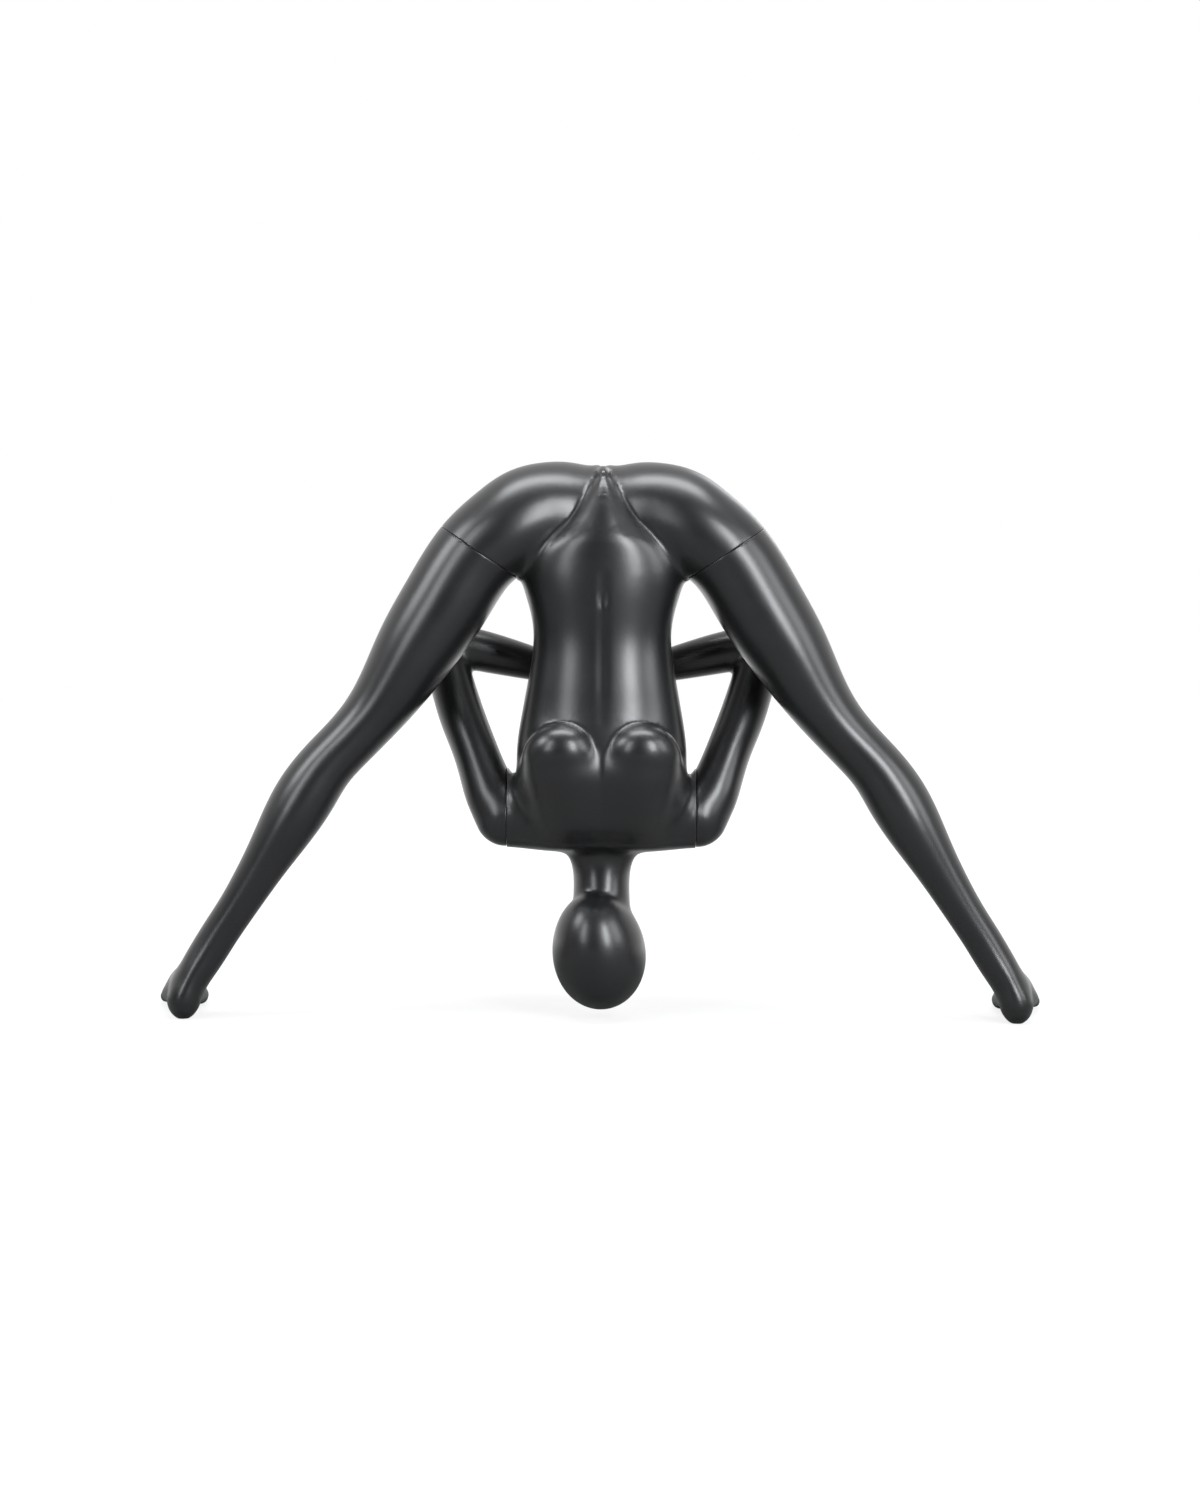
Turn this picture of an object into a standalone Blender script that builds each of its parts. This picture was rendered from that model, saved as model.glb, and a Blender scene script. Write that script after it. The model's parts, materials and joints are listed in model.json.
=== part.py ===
"""Display mannequin folded forward over wide-spread legs: fibreglass shells on removable fittings.

Metres, +Z up. The figure's back is towards +Y, its left side towards -X. Shapes below are given for
the +X side and mirrored. Every shell is the zero surface of a blended field, cut at its seams and
hollowed to one wall.
"""
import math
from collections import namedtuple

import bmesh
import bpy
import numpy as np
from mathutils import Matrix, Vector

# Shells and fits
WALL = 0.0045
SEAM_GAP = 0.001
HOLE_FIT = 0.0003
COLLAR_SPARE = 0.001
FRAME_SHIFT = -0.0316

# Thigh joint: flanged spigot on the torso, flanged socket in the leg
THIGH_SEAM_X = 0.194
THIGH_SEAM_Z = 0.738
THIGH_TILT = math.radians(33.5)
THIGH_BOARD = 0.018
THIGH_BORE_RADIUS = 0.056
SPIGOT_RADIUS = 0.014
SPIGOT_LENGTH = 0.090
SOCKET_WALL = 0.0032
SOCKET_LENGTH = 0.098
THIGH_FLANGE_RADIUS = 0.034
THIGH_FLANGE = 0.004
DOWEL_RADIUS = 0.005
DOWEL_LENGTH = 0.032
DOWEL_OFFSET = 0.046
THIGH_SCREW_OFFSET = 0.026
EDGE_BREAK = 0.001
THIGH_REACH = 0.0745

# Shoulder joint: T stud on the arm, keyhole plate on the torso
SHOULDER_SEAM_X = 0.150
SHOULDER_Y = 0.020
SHOULDER_Z = 0.326
SHOULDER_BOARD = 0.015
SHOULDER_BORE_RADIUS = 0.0335
SHOULDER_PLATE_RADIUS = 0.030
SHOULDER_PLATE = 0.0025
SHOULDER_SHANK_RADIUS = 0.005
SHOULDER_HEAD_LENGTH = 0.026
SHOULDER_HEAD = 0.0045
SHOULDER_SCREW_OFFSET = 0.0235
SHOULDER_UNLOCK = math.radians(60)

# Wrist joint: the same lock, smaller
WRIST_SEAM_X = 0.060
WRIST_Y = 0.1365
WRIST_Z = 0.5445
WRIST_PLUG = 0.012
WRIST_BORE_RADIUS = 0.0158
WRIST_PLATE_RADIUS = 0.0145
WRIST_PLATE = 0.0016
WRIST_SHANK_RADIUS = 0.003
WRIST_HEAD_LENGTH = 0.013
WRIST_HEAD = 0.003
WRIST_STUD_ROOT = 0.016
WRIST_UNLOCK = math.radians(90)

# Countersunk screws
SCREW_RADIUS = 0.002
SCREW_HEAD_RADIUS = 0.004
SCREW_HEAD = 0.0022
SCREW_LENGTH = 0.013
SCREW_SLOT = 0.001

# Triangles of each shell's outside and of its hollow
TORSO_FACES = 3000
TORSO_HOLLOW_FACES = 1100
LEG_FACES = 1300
LEG_HOLLOW_FACES = 420
ARM_FACES = 800
ARM_HOLLOW_FACES = 300
HAND_FACES = 700

Station = namedtuple("Station", "x y z wide deep")

# Crotch to collar, upside down
TRUNK = [
    Station(0, 0.004, 0.857, 0.013, 0.044),
    Station(0, 0.006, 0.838, 0.032, 0.063),
    Station(0, 0.009, 0.818, 0.051, 0.080),
    Station(0, 0.013, 0.782, 0.083, 0.094),
    Station(0, 0.012, 0.742, 0.113, 0.0985),
    Station(0, 0.005, 0.700, 0.1265, 0.092),
    Station(0, 0.000, 0.655, 0.1165, 0.084),
    Station(0, -0.0015, 0.612, 0.1085, 0.0785),
    Station(0, -0.001, 0.570, 0.111, 0.081),
    Station(0, 0.000, 0.525, 0.1185, 0.088),
    Station(0, 0.001, 0.473, 0.128, 0.096),
    Station(0, -0.003, 0.418, 0.134, 0.103),
    Station(0, 0.000, 0.370, 0.131, 0.098),
    Station(0, 0.007, 0.330, 0.127, 0.083),
    Station(0, 0.015, 0.301, 0.123, 0.064),
]
NECK = [
    Station(0.001, 0.032, 0.310, 0.066, 0.054),
    Station(0.001, 0.032, 0.266, 0.053, 0.050),
    Station(0.001, 0.028, 0.228, 0.0455, 0.049),
    Station(0.001, 0.021, 0.190, 0.045, 0.050),
    Station(0.001, 0.012, 0.150, 0.048, 0.055),
]
# Pelvis to heel
LEG = [
    Station(0.064, 0.024, 0.793, 0.078, 0.068),
    Station(0.106, 0.014, 0.797, 0.0775, 0.074),
    Station(0.146, 0.006, 0.777, 0.0745, 0.078),
    Station(0.194, 0.002, 0.738, 0.0705, 0.076),
    Station(0.245, 0.001, 0.662, 0.0695, 0.074),
    Station(0.292, 0.001, 0.587, 0.0645, 0.070),
    Station(0.339, 0.001, 0.511, 0.0525, 0.061),
    Station(0.3675, 0.000, 0.473, 0.0468, 0.0565),
    Station(0.401, -0.003, 0.4356, 0.0443, 0.0540),
    Station(0.4355, -0.008, 0.398, 0.0450, 0.0530),
    Station(0.462, -0.012, 0.360, 0.0478, 0.0535),
    Station(0.485, -0.015, 0.322, 0.0465, 0.0520),
    Station(0.5075, -0.017, 0.284, 0.0415, 0.0470),
    Station(0.530, -0.018, 0.2466, 0.0362, 0.0415),
    Station(0.553, -0.018, 0.209, 0.0325, 0.0375),
    Station(0.577, -0.017, 0.171, 0.0302, 0.0355),
    Station(0.602, -0.016, 0.133, 0.0296, 0.0350),
    Station(0.625, -0.016, 0.096, 0.0292, 0.0365),
    Station(0.646, -0.018, 0.060, 0.0266, 0.0385),
    Station(0.658, -0.020, 0.030, 0.0225, 0.0370),
]
# Heel to toes, half width and half height
FOOT = [
    Station(0.658, -0.034, 0.026, 0.0200, 0.0275),
    Station(0.661, 0.000, 0.036, 0.0230, 0.0380),
    Station(0.665, 0.032, 0.036, 0.0280, 0.0370),
    Station(0.670, 0.068, 0.0265, 0.0340, 0.0275),
    Station(0.674, 0.100, 0.0185, 0.0375, 0.0200),
    Station(0.677, 0.124, 0.0130, 0.0370, 0.0150),
]
# Toe roots and tips on the foot's line: side offset, reach, radius; big toe first
TOES = [
    (-0.0255, 0.178, 0.0115),
    (-0.0075, 0.180, 0.0088),
    (0.0065, 0.174, 0.0083),
    (0.0195, 0.165, 0.0080),
    (0.0310, 0.154, 0.0078),
]
TOE_ROOT = 0.115
TOE_OUT = math.radians(7.5)
SHOULDER = [
    Station(0.060, 0.012, 0.321, 0.0515, 0.050),
    Station(0.110, 0.016, 0.3195, 0.0500, 0.047),
    Station(0.152, 0.021, 0.3190, 0.0470, 0.0425),
]
UPPER_ARM = [
    Station(0.155, 0.022, 0.3215, 0.0450, 0.0425),
    Station(0.173, 0.030, 0.350, 0.0425, 0.0415),
    Station(0.1875, 0.042, 0.382, 0.0385, 0.0395),
    Station(0.203, 0.058, 0.422, 0.0360, 0.0375),
    Station(0.2225, 0.080, 0.4685, 0.0363, 0.0370),
    Station(0.236, 0.097, 0.506, 0.0358, 0.0360),
    Station(0.248, 0.114, 0.548, 0.0340, 0.0345),
    Station(0.2565, 0.127, 0.587, 0.0310, 0.0320),
]
FOREARM = [
    Station(0.254, 0.128, 0.590, 0.0320, 0.0325),
    Station(0.205, 0.131, 0.5785, 0.0335, 0.0330),
    Station(0.160, 0.133, 0.568, 0.0312, 0.0300),
    Station(0.117, 0.135, 0.5575, 0.0275, 0.0262),
    Station(0.085, 0.136, 0.550, 0.0245, 0.0230),
    Station(0.060, 0.1365, 0.5445, 0.0235, 0.0215),
    Station(0.038, 0.137, 0.5395, 0.0235, 0.0215),
]
# Half thickness and half breadth
PALM = [
    Station(0.085, 0.136, 0.550, 0.0245, 0.0230),
    Station(0.060, 0.1365, 0.5445, 0.0235, 0.0215),
    Station(0.0385, 0.137, 0.532, 0.0195, 0.0240),
    Station(0.0230, 0.138, 0.507, 0.0165, 0.0310),
    Station(0.0170, 0.139, 0.475, 0.0145, 0.0355),
    Station(0.0155, 0.140, 0.446, 0.0120, 0.0345),
]
# Finger side offset, length and radius from the index to the little finger
FINGERS = [
    (0.0265, 0.070, 0.0086),
    (0.0090, 0.079, 0.0088),
    (-0.0085, 0.073, 0.0084),
    (-0.0255, 0.056, 0.0076),
]
FINGER_ROOT = Station(0.0145, 0.140, 0.452, 0, 0)
FINGER_TIP_X = 0.0122
FINGER_TIP_DRIFT = 0.004
THUMB = [
    Station(0.0215, 0.152, 0.510, 0.0130, 0.0130),
    Station(0.0165, 0.172, 0.481, 0.0112, 0.0112),
    Station(0.0140, 0.181, 0.454, 0.0098, 0.0098),
    Station(0.0125, 0.183, 0.433, 0.0082, 0.0082),
]
HEAD_CENTRE = (-0.003, -0.004, 0.1085)
HEAD_RADII = (0.0735, 0.083, 0.0965)
HEAD_TAPER = 0.07
HEAD_LEAN = math.radians(22)
HEAD_TURN = math.radians(7)
HEAD_TIP = math.radians(6)
BREAST_CENTRE = (0.062, -0.070, 0.416)
BREAST_RADII = (0.062, 0.056, 0.058)
BREAST_TAPER = 0.118
BREAST_LEAN = 0.27
BREAST_NARROW = 0.35
BUTTOCK_CENTRE = (0.058, 0.045, 0.786)
BUTTOCK_RADII = (0.070, 0.082, 0.086)
SADDLE_CENTRE = (0, 0.052, 0.812)
SADDLE_RADII = (0.060, 0.060, 0.062)
CLEFT_CENTRE = (0, -0.010, 0.878)
CLEFT_RADII = (0.005, 0.090, 0.008)
KNEECAP_CENTRE = (0.396, 0.032, 0.440)
KNEECAP_RADII = (0.026, 0.026, 0.030)
NAVEL_CENTRE = (0, -0.090, 0.664)
NAVEL_RADII = (0.0045, 0.013, 0.016)
SPINE = [
    Station(0, 0.121, 0.720, 0.006, 0.006),
    Station(0, 0.091, 0.640, 0.007, 0.006),
    Station(0, 0.087, 0.580, 0.007, 0.006),
    Station(0, 0.101, 0.490, 0.007, 0.006),
    Station(0, 0.108, 0.400, 0.006, 0.006),
]
BLADE_CENTRE = (0.066, 0.086, 0.385)
BLADE_RADII = (0.038, 0.022, 0.056)


def spline(knots, values, at):
    """Natural cubic spline through the values at the knots, read at the given places."""
    step = np.diff(knots)
    count = len(knots)
    system = np.eye(count)
    load = np.zeros_like(values)
    for i in range(1, count - 1):
        system[i, i - 1:i + 2] = step[i - 1], 2 * (step[i - 1] + step[i]), step[i]
        load[i] = 6 * ((values[i + 1] - values[i]) / step[i] - (values[i] - values[i - 1]) / step[i - 1])
    bend = np.linalg.solve(system, load)
    i = np.clip(np.searchsorted(knots, at) - 1, 0, count - 2)
    width = step[i][:, None]
    done = (at - knots[i])[:, None]
    left = width - done
    return ((bend[i] * left**3 + bend[i + 1] * done**3) / (6 * width)
            + (values[i] / width - bend[i] * width / 6) * left
            + (values[i + 1] / width - bend[i + 1] * width / 6) * done)


def pillow(local, size, power=2.0):
    """Nearly the distance to a rounded solid of the given half sizes, negative inside."""
    ratio = np.abs(local) / size + 1e-9
    reach = (ratio**power).sum(1) ** (1 / power)
    slope = np.sqrt((((ratio / reach[:, None]) ** (power - 1) / size) ** 2).sum(1))
    return (reach - 1) / slope


def blend(first, second, reach):
    """Union of two fields with a fillet."""
    near = np.maximum(reach - np.abs(first - second), 0) / reach
    return np.minimum(first, second) - reach * near**3 / 6


def carve(field, tool, reach):
    """The first field with the tool taken away and the edge rounded."""
    return -blend(-field, tool, reach)


def ramp(value, low, high):
    share = np.clip((value - low) / (high - low), 0, 1)
    return share * share * (3 - 2 * share)


class Limb:
    """Field of a round limb through stations; the depth axis carries each station's deep half size."""

    def __init__(self, stations, depth_axis=(0, 1, 0), power=2.0, step=0.004, cap=None):
        table = np.array(stations, float)
        table[:, 1] += FRAME_SHIFT
        knots = np.append(0, np.cumsum(np.linalg.norm(np.diff(table[:, :3], axis=0), axis=1)))
        dense = spline(knots, table, np.linspace(0, knots[-1], int(knots[-1] / step) + 2))
        self.centre = dense[:, :3]
        self.girth = dense[:, 3:]
        along = np.gradient(self.centre, axis=0)
        along /= np.linalg.norm(along, axis=1)[:, None]
        depth = np.array(depth_axis) - along * (along @ np.array(depth_axis))[:, None]
        depth /= np.linalg.norm(depth, axis=1)[:, None]
        self.axes = np.stack([np.cross(along, depth), depth, along], axis=1)
        self.power = power
        self.cap = cap

    def __call__(self, points):
        parts = np.array_split(points, 1 + len(points) // 40000)
        return np.concatenate([self.part(some) for some in parts])

    def part(self, points):
        near = np.argmin((self.centre**2).sum(1) - 2 * points @ self.centre.T, axis=1)
        ahead = ((points - self.centre[near]) * self.axes[near, 2]).sum(1) > 0
        first = np.clip(np.where(ahead, near, near - 1), 0, len(self.centre) - 2)
        step = self.centre[first + 1] - self.centre[first]
        share = np.clip(((points - self.centre[first]) * step).sum(1) / (step**2).sum(1), 0, 1)[:, None]
        girth = self.girth[first] * (1 - share) + self.girth[first + 1] * share
        axes = self.axes[first] * (1 - share)[:, None] + self.axes[first + 1] * share[:, None]
        local = np.einsum("nij,nj->ni", axes, points - self.centre[first] - share * step)
        end = np.full(len(points), self.cap) if self.cap else girth.min(axis=1)
        return pillow(local, np.column_stack([girth, end]), self.power)


def ball(points, centre, radii, power=2.0):
    middle = np.array(centre) + (0, FRAME_SHIFT, 0)
    return pillow(points - middle, np.array(radii), power)


def head(points):
    """Egg with its narrow end at the chin, leaned forward and turned a little to the figure's left."""
    turn = (Matrix.Rotation(-HEAD_TIP, 3, "Y") @ Matrix.Rotation(-HEAD_TURN, 3, "Z")
            @ Matrix.Rotation(HEAD_LEAN, 3, "X"))
    local = (points - np.array(HEAD_CENTRE) - (0, FRAME_SHIFT, 0)) @ np.array(turn)
    chin = np.clip(local[:, 2:] / HEAD_RADII[2], -1, 1)
    slim = 1 - HEAD_TAPER * chin
    return pillow(local, np.array(HEAD_RADII) * np.concatenate([slim, slim, chin * 0 + 1], axis=1))


def breast(points):
    """Teardrop, short at the fold; its long side leans back and narrows towards the collarbone."""
    local = points - np.array(BREAST_CENTRE) - (0, FRAME_SHIFT, 0)
    local[:, 1] += BREAST_LEAN * local[:, 2]
    wide, deep, short = BREAST_RADII
    below = np.clip(-local[:, 2] / BREAST_TAPER, 0, 1)
    wide = wide * (1 - BREAST_NARROW * below)
    long = np.where(local[:, 2] > 0, short, BREAST_TAPER)
    return pillow(local, np.column_stack([wide, np.full(len(local), deep), long]))


class Figure:
    """Fields of the five moulded parts on the +X side; the torso field covers both sides."""

    def __init__(self):
        self.trunk = Limb(TRUNK, power=2.1, cap=0.020)
        self.neck = Limb(NECK)
        self.leg = Limb(LEG)
        self.stub = Limb(LEG[:5])
        self.foot = Limb(FOOT, depth_axis=(0, 0, 1))
        self.shoulder = Limb(SHOULDER)
        self.upper_arm = Limb(UPPER_ARM)
        self.arm_root = Limb(UPPER_ARM[:5])
        self.forearm = Limb(FOREARM)
        self.palm = Limb(PALM)
        self.thumb = Limb(THUMB)
        self.spine = Limb(SPINE)
        self.toes = [self.toe(*toe) for toe in TOES]
        self.fingers = [self.finger(*finger) for finger in FINGERS]

    @staticmethod
    def toe(side, reach, radius):
        """Toe along the foot's line, from under the ball of the foot to its tip."""
        ahead = Vector((math.sin(TOE_OUT), math.cos(TOE_OUT)))
        across = Vector((ahead.y, -ahead.x))
        heel = Vector((FOOT[1].x, FOOT[1].y))
        middle = (TOE_ROOT + reach) / 2
        stations = []
        for along, lift, size in ((TOE_ROOT, 0.0125, 1.0), (middle, 0.0115, 1.0), (reach, 0.0070, 0.9)):
            place = heel + ahead * (along - radius) + across * side
            stations.append(Station(place.x, place.y, lift, radius * size, radius * size))
        return Limb(stations, depth_axis=(0, 0, 1), step=0.002)

    @staticmethod
    def finger(side, length, radius):
        root = Vector(FINGER_ROOT[:3]) + Vector((0, side, 0))
        tip = Vector((FINGER_TIP_X, root.y + FINGER_TIP_DRIFT - side * 0.12, root.z - length))
        middle = (root + tip) / 2 + Vector((0.001, 0, 0))
        stations = [Station(*root, radius * 1.08, radius * 1.08), Station(*middle, radius, radius),
                    Station(*tip, radius * 0.74, radius * 0.8)]
        return Limb(stations, step=0.002)

    def torso_field(self, points):
        side = np.column_stack([np.abs(points[:, 0]), points[:, 1:]])
        x, y, z = side.T
        hip = blend(self.stub(side), ball(side, BUTTOCK_CENTRE, BUTTOCK_RADII), 0.05)
        hip = blend(hip, ball(side, SADDLE_CENTRE, SADDLE_RADII), 0.03)
        crease = 0.006 + 0.026 * ramp(x, 0.045, 0.11) + 0.03 * ramp(y, -0.03, 0.05)
        body = blend(self.trunk(side), hip, crease)
        collar = blend(self.shoulder(side), self.arm_root(side), 0.02)
        body = blend(body, collar, 0.05)
        body = blend(body, ball(side, BLADE_CENTRE, BLADE_RADII), 0.035)
        fold = 0.006 + 0.06 * ramp(-z, -0.445, -0.38)
        body = blend(body, breast(side), fold)
        body = blend(body, self.neck(points), 0.045)
        body = blend(body, head(points), 0.012)
        body = carve(body, self.spine(points), 0.03)
        body = carve(body, ball(points, CLEFT_CENTRE, CLEFT_RADII), 0.008)
        return carve(body, ball(points, NAVEL_CENTRE, NAVEL_RADII), 0.012)

    def leg_field(self, points):
        foot = self.foot(points)
        for toe in self.toes:
            foot = blend(foot, toe(points), 0.006)
        leg = blend(self.leg(points), ball(points, KNEECAP_CENTRE, KNEECAP_RADII), 0.03)
        return blend(leg, foot, 0.03)

    def arm_field(self, points):
        collar = blend(self.shoulder(points), self.upper_arm(points), 0.02)
        return blend(collar, self.forearm(points), 0.02)

    def hand_field(self, points):
        hand = blend(self.palm(points), self.thumb(points), 0.012)
        for finger in self.fingers:
            hand = blend(hand, finger(points), 0.005)
        return hand


def gradient(field, points):
    reach = 0.0005
    steps = np.eye(3) * reach
    return np.stack([field(points + step) - field(points - step) for step in steps], axis=1) / (2 * reach)


def settle(field, points):
    """Points moved along the field's gradient onto its zero surface."""
    for _ in range(2):
        slope = gradient(field, points)
        length = np.maximum((slope**2).sum(1), 0.05)
        points = points - np.clip(field(points) / length, -0.01, 0.01)[:, None] * slope
    return points


def fill_diagonals(inside):
    """Grid where no face's inside corners touch only across its diagonal, so no edge joins four faces."""
    found = True
    while found:
        found = False
        for pair in ((0, 1), (0, 2), (1, 2)):
            view = np.moveaxis(inside, pair, (0, 1))
            corners = view[:-1, :-1], view[1:, :-1], view[:-1, 1:], view[1:, 1:]
            checker = (corners[0] == corners[3]) & (corners[1] == corners[2]) & (corners[0] != corners[1])
            found = found or checker.any()
            for corner in corners:
                corner |= checker
    return inside


def skin(field, low, high, cell):
    """Points and four-sided faces of the zero surface inside a box."""
    axes = [np.arange(a, b + cell, cell) for a, b in zip(low, high)]
    grid = np.stack(np.meshgrid(*axes, indexing="ij"), axis=-1)
    inside = fill_diagonals(field(grid.reshape(-1, 3)).reshape(grid.shape[:3]) < 0)
    corners = sum(inside[i:i - 1 or None, j:j - 1 or None, k:k - 1 or None].astype(int)
                  for i in (0, 1) for j in (0, 1) for k in (0, 1))
    mixed = (corners > 0) & (corners < 8)
    number = np.full(mixed.shape, -1)
    number[mixed] = np.arange(mixed.sum())
    points = np.argwhere(mixed) * cell + np.array(low) + cell / 2
    faces = []
    for axis in range(3):
        edges = np.argwhere(np.diff(inside, axis=axis))
        one, two = np.eye(3, dtype=int)[[(axis + 1) % 3, (axis + 2) % 3]]
        corner_shifts = (0 * one, one, one + two, two)
        quads = np.stack([number[tuple((edges - shift).T)] for shift in corner_shifts], axis=1)
        leaving = inside[tuple(edges.T)]
        quads[~leaving] = quads[~leaving, ::-1]
        faces.append(quads)
    faces = np.concatenate(faces)
    for _ in range(3):
        points = settle(field, relax(points, faces))
    return settle(field, points), faces


def relax(points, faces):
    """Each point halfway to the mean of its neighbours along the edges."""
    total = np.zeros_like(points)
    count = np.zeros(len(points))
    for i in range(4):
        for j in ((i + 1) % 4, (i + 3) % 4):
            np.add.at(total, faces[:, i], points[faces[:, j]])
            np.add.at(count, faces[:, i], 1)
    return (points + total / count[:, None]) / 2


def material(name, colour, roughness, metallic=0.0):
    made = bpy.data.materials.new(name)
    made.use_nodes = True
    shader = made.node_tree.nodes["Principled BSDF"]
    shader.inputs["Base Color"].default_value = (*colour, 1)
    shader.inputs["Roughness"].default_value = roughness
    shader.inputs["Metallic"].default_value = metallic
    return made


def add(name, bm, look):
    """Object of a finished bmesh with its own material."""
    bmesh.ops.recalc_face_normals(bm, faces=bm.faces)
    mesh = bpy.data.meshes.new(name)
    bm.to_mesh(mesh)
    bm.free()
    made = bpy.data.objects.new(name, mesh)
    bpy.context.scene.collection.objects.link(made)
    if look:
        mesh.materials.append(material(name, *look))
    else:
        made.hide_render = True
        made.display_type = "WIRE"
    return made


def boolean(target, tool, operation="DIFFERENCE"):
    change = target.modifiers.new(operation.title(), "BOOLEAN")
    change.operation = operation
    change.solver = "EXACT"
    change.object = tool


def thin(target, faces):
    """Fewer triangles on a dense shell."""
    change = target.modifiers.new("Thin", "DECIMATE")
    change.ratio = faces / (2 * len(target.data.polygons))


def skin_mesh(points, faces, mirror):
    bm = bmesh.new()
    sign = (-1, 1, 1) if mirror else (1, 1, 1)
    verts = [bm.verts.new(point) for point in points * sign]
    for face in faces:
        bm.faces.new([verts[i] for i in face])
    return bm


def slice_off(bm, origin, normal):
    """Cuts the mesh on a plane, drops the side the normal points to and closes the cut."""
    everything = bm.verts[:] + bm.edges[:] + bm.faces[:]
    bmesh.ops.bisect_plane(bm, geom=everything, dist=1e-6, plane_co=origin, plane_no=normal,
                           clear_outer=True)
    rim = [edge for edge in bm.edges if edge.is_boundary]
    bmesh.ops.holes_fill(bm, edges=rim)


def block(bm, size, centre):
    scale = Matrix.Translation(centre) @ Matrix.Diagonal((*size, 1))
    return bmesh.ops.create_cube(bm, size=1, matrix=scale)["verts"]


def lathe(bm, outline, sides, place=(0, 0), ring=False):
    """Solid of an outline of radius and height turned about a local z line."""
    loops = []
    for radius, height in outline:
        count = sides if radius else 1
        turns = [math.tau * i / count for i in range(count)]
        spots = [(place[0] + radius * math.cos(a), place[1] + radius * math.sin(a), height) for a in turns]
        loops.append([bm.verts.new(spot) for spot in spots])
    following = loops[1:] + loops[:1] if ring else loops[1:]
    for low, high in zip(loops, following):
        for i in range(sides):
            after = i + 1
            corners = (low[i % len(low)], low[after % len(low)],
                       high[after % len(high)], high[i % len(high)])
            face = list(dict.fromkeys(corners))
            if len(face) > 2:
                bm.faces.new(face)


def seat(origin, normal):
    """Frame with its z axis along a joint and its y axis along the world's."""
    ahead = Vector(normal)
    depth = Vector((0, 1, 0))
    turn = Matrix((depth.cross(ahead), depth, ahead)).transposed()
    return Matrix.Translation(origin) @ turn.to_4x4()


BLACK = ((0.018, 0.019, 0.021), 0.4)
PLY = ((0.45, 0.30, 0.17), 0.7)
STEEL = ((0.60, 0.61, 0.62), 0.35, 1.0)


def bar_slot(bm, length, wide, low, high, turn):
    verts = block(bm, (length, wide, high - low), (0, 0, (low + high) / 2))
    bmesh.ops.rotate(bm, verts=verts, cent=(0, 0, 0), matrix=Matrix.Rotation(turn, 3, "Z"))


def screw(name, frame, place, face, inward):
    """Countersunk screw with its head flush with a face; inward is the z sense it is driven in."""
    outline = [(0, face), (SCREW_HEAD_RADIUS, face), (SCREW_RADIUS, face + inward * SCREW_HEAD),
               (SCREW_RADIUS, face + inward * SCREW_LENGTH),
               (0, face + inward * (SCREW_LENGTH + SCREW_RADIUS))]
    bm = bmesh.new()
    lathe(bm, outline, 12, place)
    made = add(name, bm, STEEL)
    slot = bmesh.new()
    block(slot, (0.03, SCREW_SLOT, 2 * SCREW_SLOT), (place[0], place[1], face))
    tool = add(name + "_slot", slot, None)
    boolean(made, tool)
    made.matrix_world = frame
    tool.matrix_world = frame
    return made


def screw_hole(bm, place, face, inward):
    grow = HOLE_FIT
    outline = [(0, face - inward * 0.001), (SCREW_HEAD_RADIUS + grow, face - inward * 0.001),
               (SCREW_HEAD_RADIUS + grow, face), (SCREW_RADIUS + grow, face + inward * SCREW_HEAD),
               (SCREW_RADIUS + grow, face + inward * (SCREW_LENGTH + grow)),
               (0, face + inward * (SCREW_LENGTH + SCREW_RADIUS + 2 * grow))]
    lathe(bm, outline, 12, place)


def placed(name, bm, look, frame):
    made = add(name, bm, look)
    made.matrix_world = frame
    return made


def board(name, frame, radius, low, high, tools):
    """Round board between two heights of a frame, bored by the tools."""
    bm = bmesh.new()
    lathe(bm, [(0, low), (radius - HOLE_FIT, low), (radius - HOLE_FIT, high), (0, high)], 28)
    made = placed(name, bm, PLY, frame)
    boolean(made, placed(name + "_bore", tools, None, frame))
    return made


def collar(made, hollow, frame, low, high, radius, shift=0.0):
    """Keeps a shell solid between two heights of a frame, round the bore a board sits in."""
    name = f"{made.name}_collar_{len(hollow.modifiers)}"
    box = bmesh.new()
    block(box, (0.24, 0.24, high - low), (shift, 0, (low + high) / 2))
    boolean(hollow, placed(name, box, None, frame))
    bore = bmesh.new()
    lathe(bore, [(0, low - 0.003), (radius, low - 0.003), (radius, high + 0.003), (0, high + 0.003)], 28)
    boolean(made, placed(name + "_bore", bore, None, frame))


def shell(name, outside, inside, mirror, faces, hollow_faces, cuts):
    """Shell cut by boxes, hollowed and thinned; returns it with the solid of its hollow."""
    made = add(name, skin_mesh(*outside, mirror), BLACK)
    thin(made, faces)
    inner = skin_mesh(*inside, mirror)
    slice_off(inner, (0, 0, WALL), (0, 0, -1))
    hollow = add(name + "_hollow", inner, None)
    thin(hollow, hollow_faces)
    for number, (frame, size, centre) in enumerate(cuts):
        box = bmesh.new()
        block(box, size, centre)
        boolean(made, placed(f"{name}_cut_{number}", box, None, frame))
    boolean(made, hollow)
    return made, hollow


def mirrored(vector, mirror):
    return Vector((-vector[0], vector[1], vector[2])) if mirror else Vector(vector)


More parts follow.
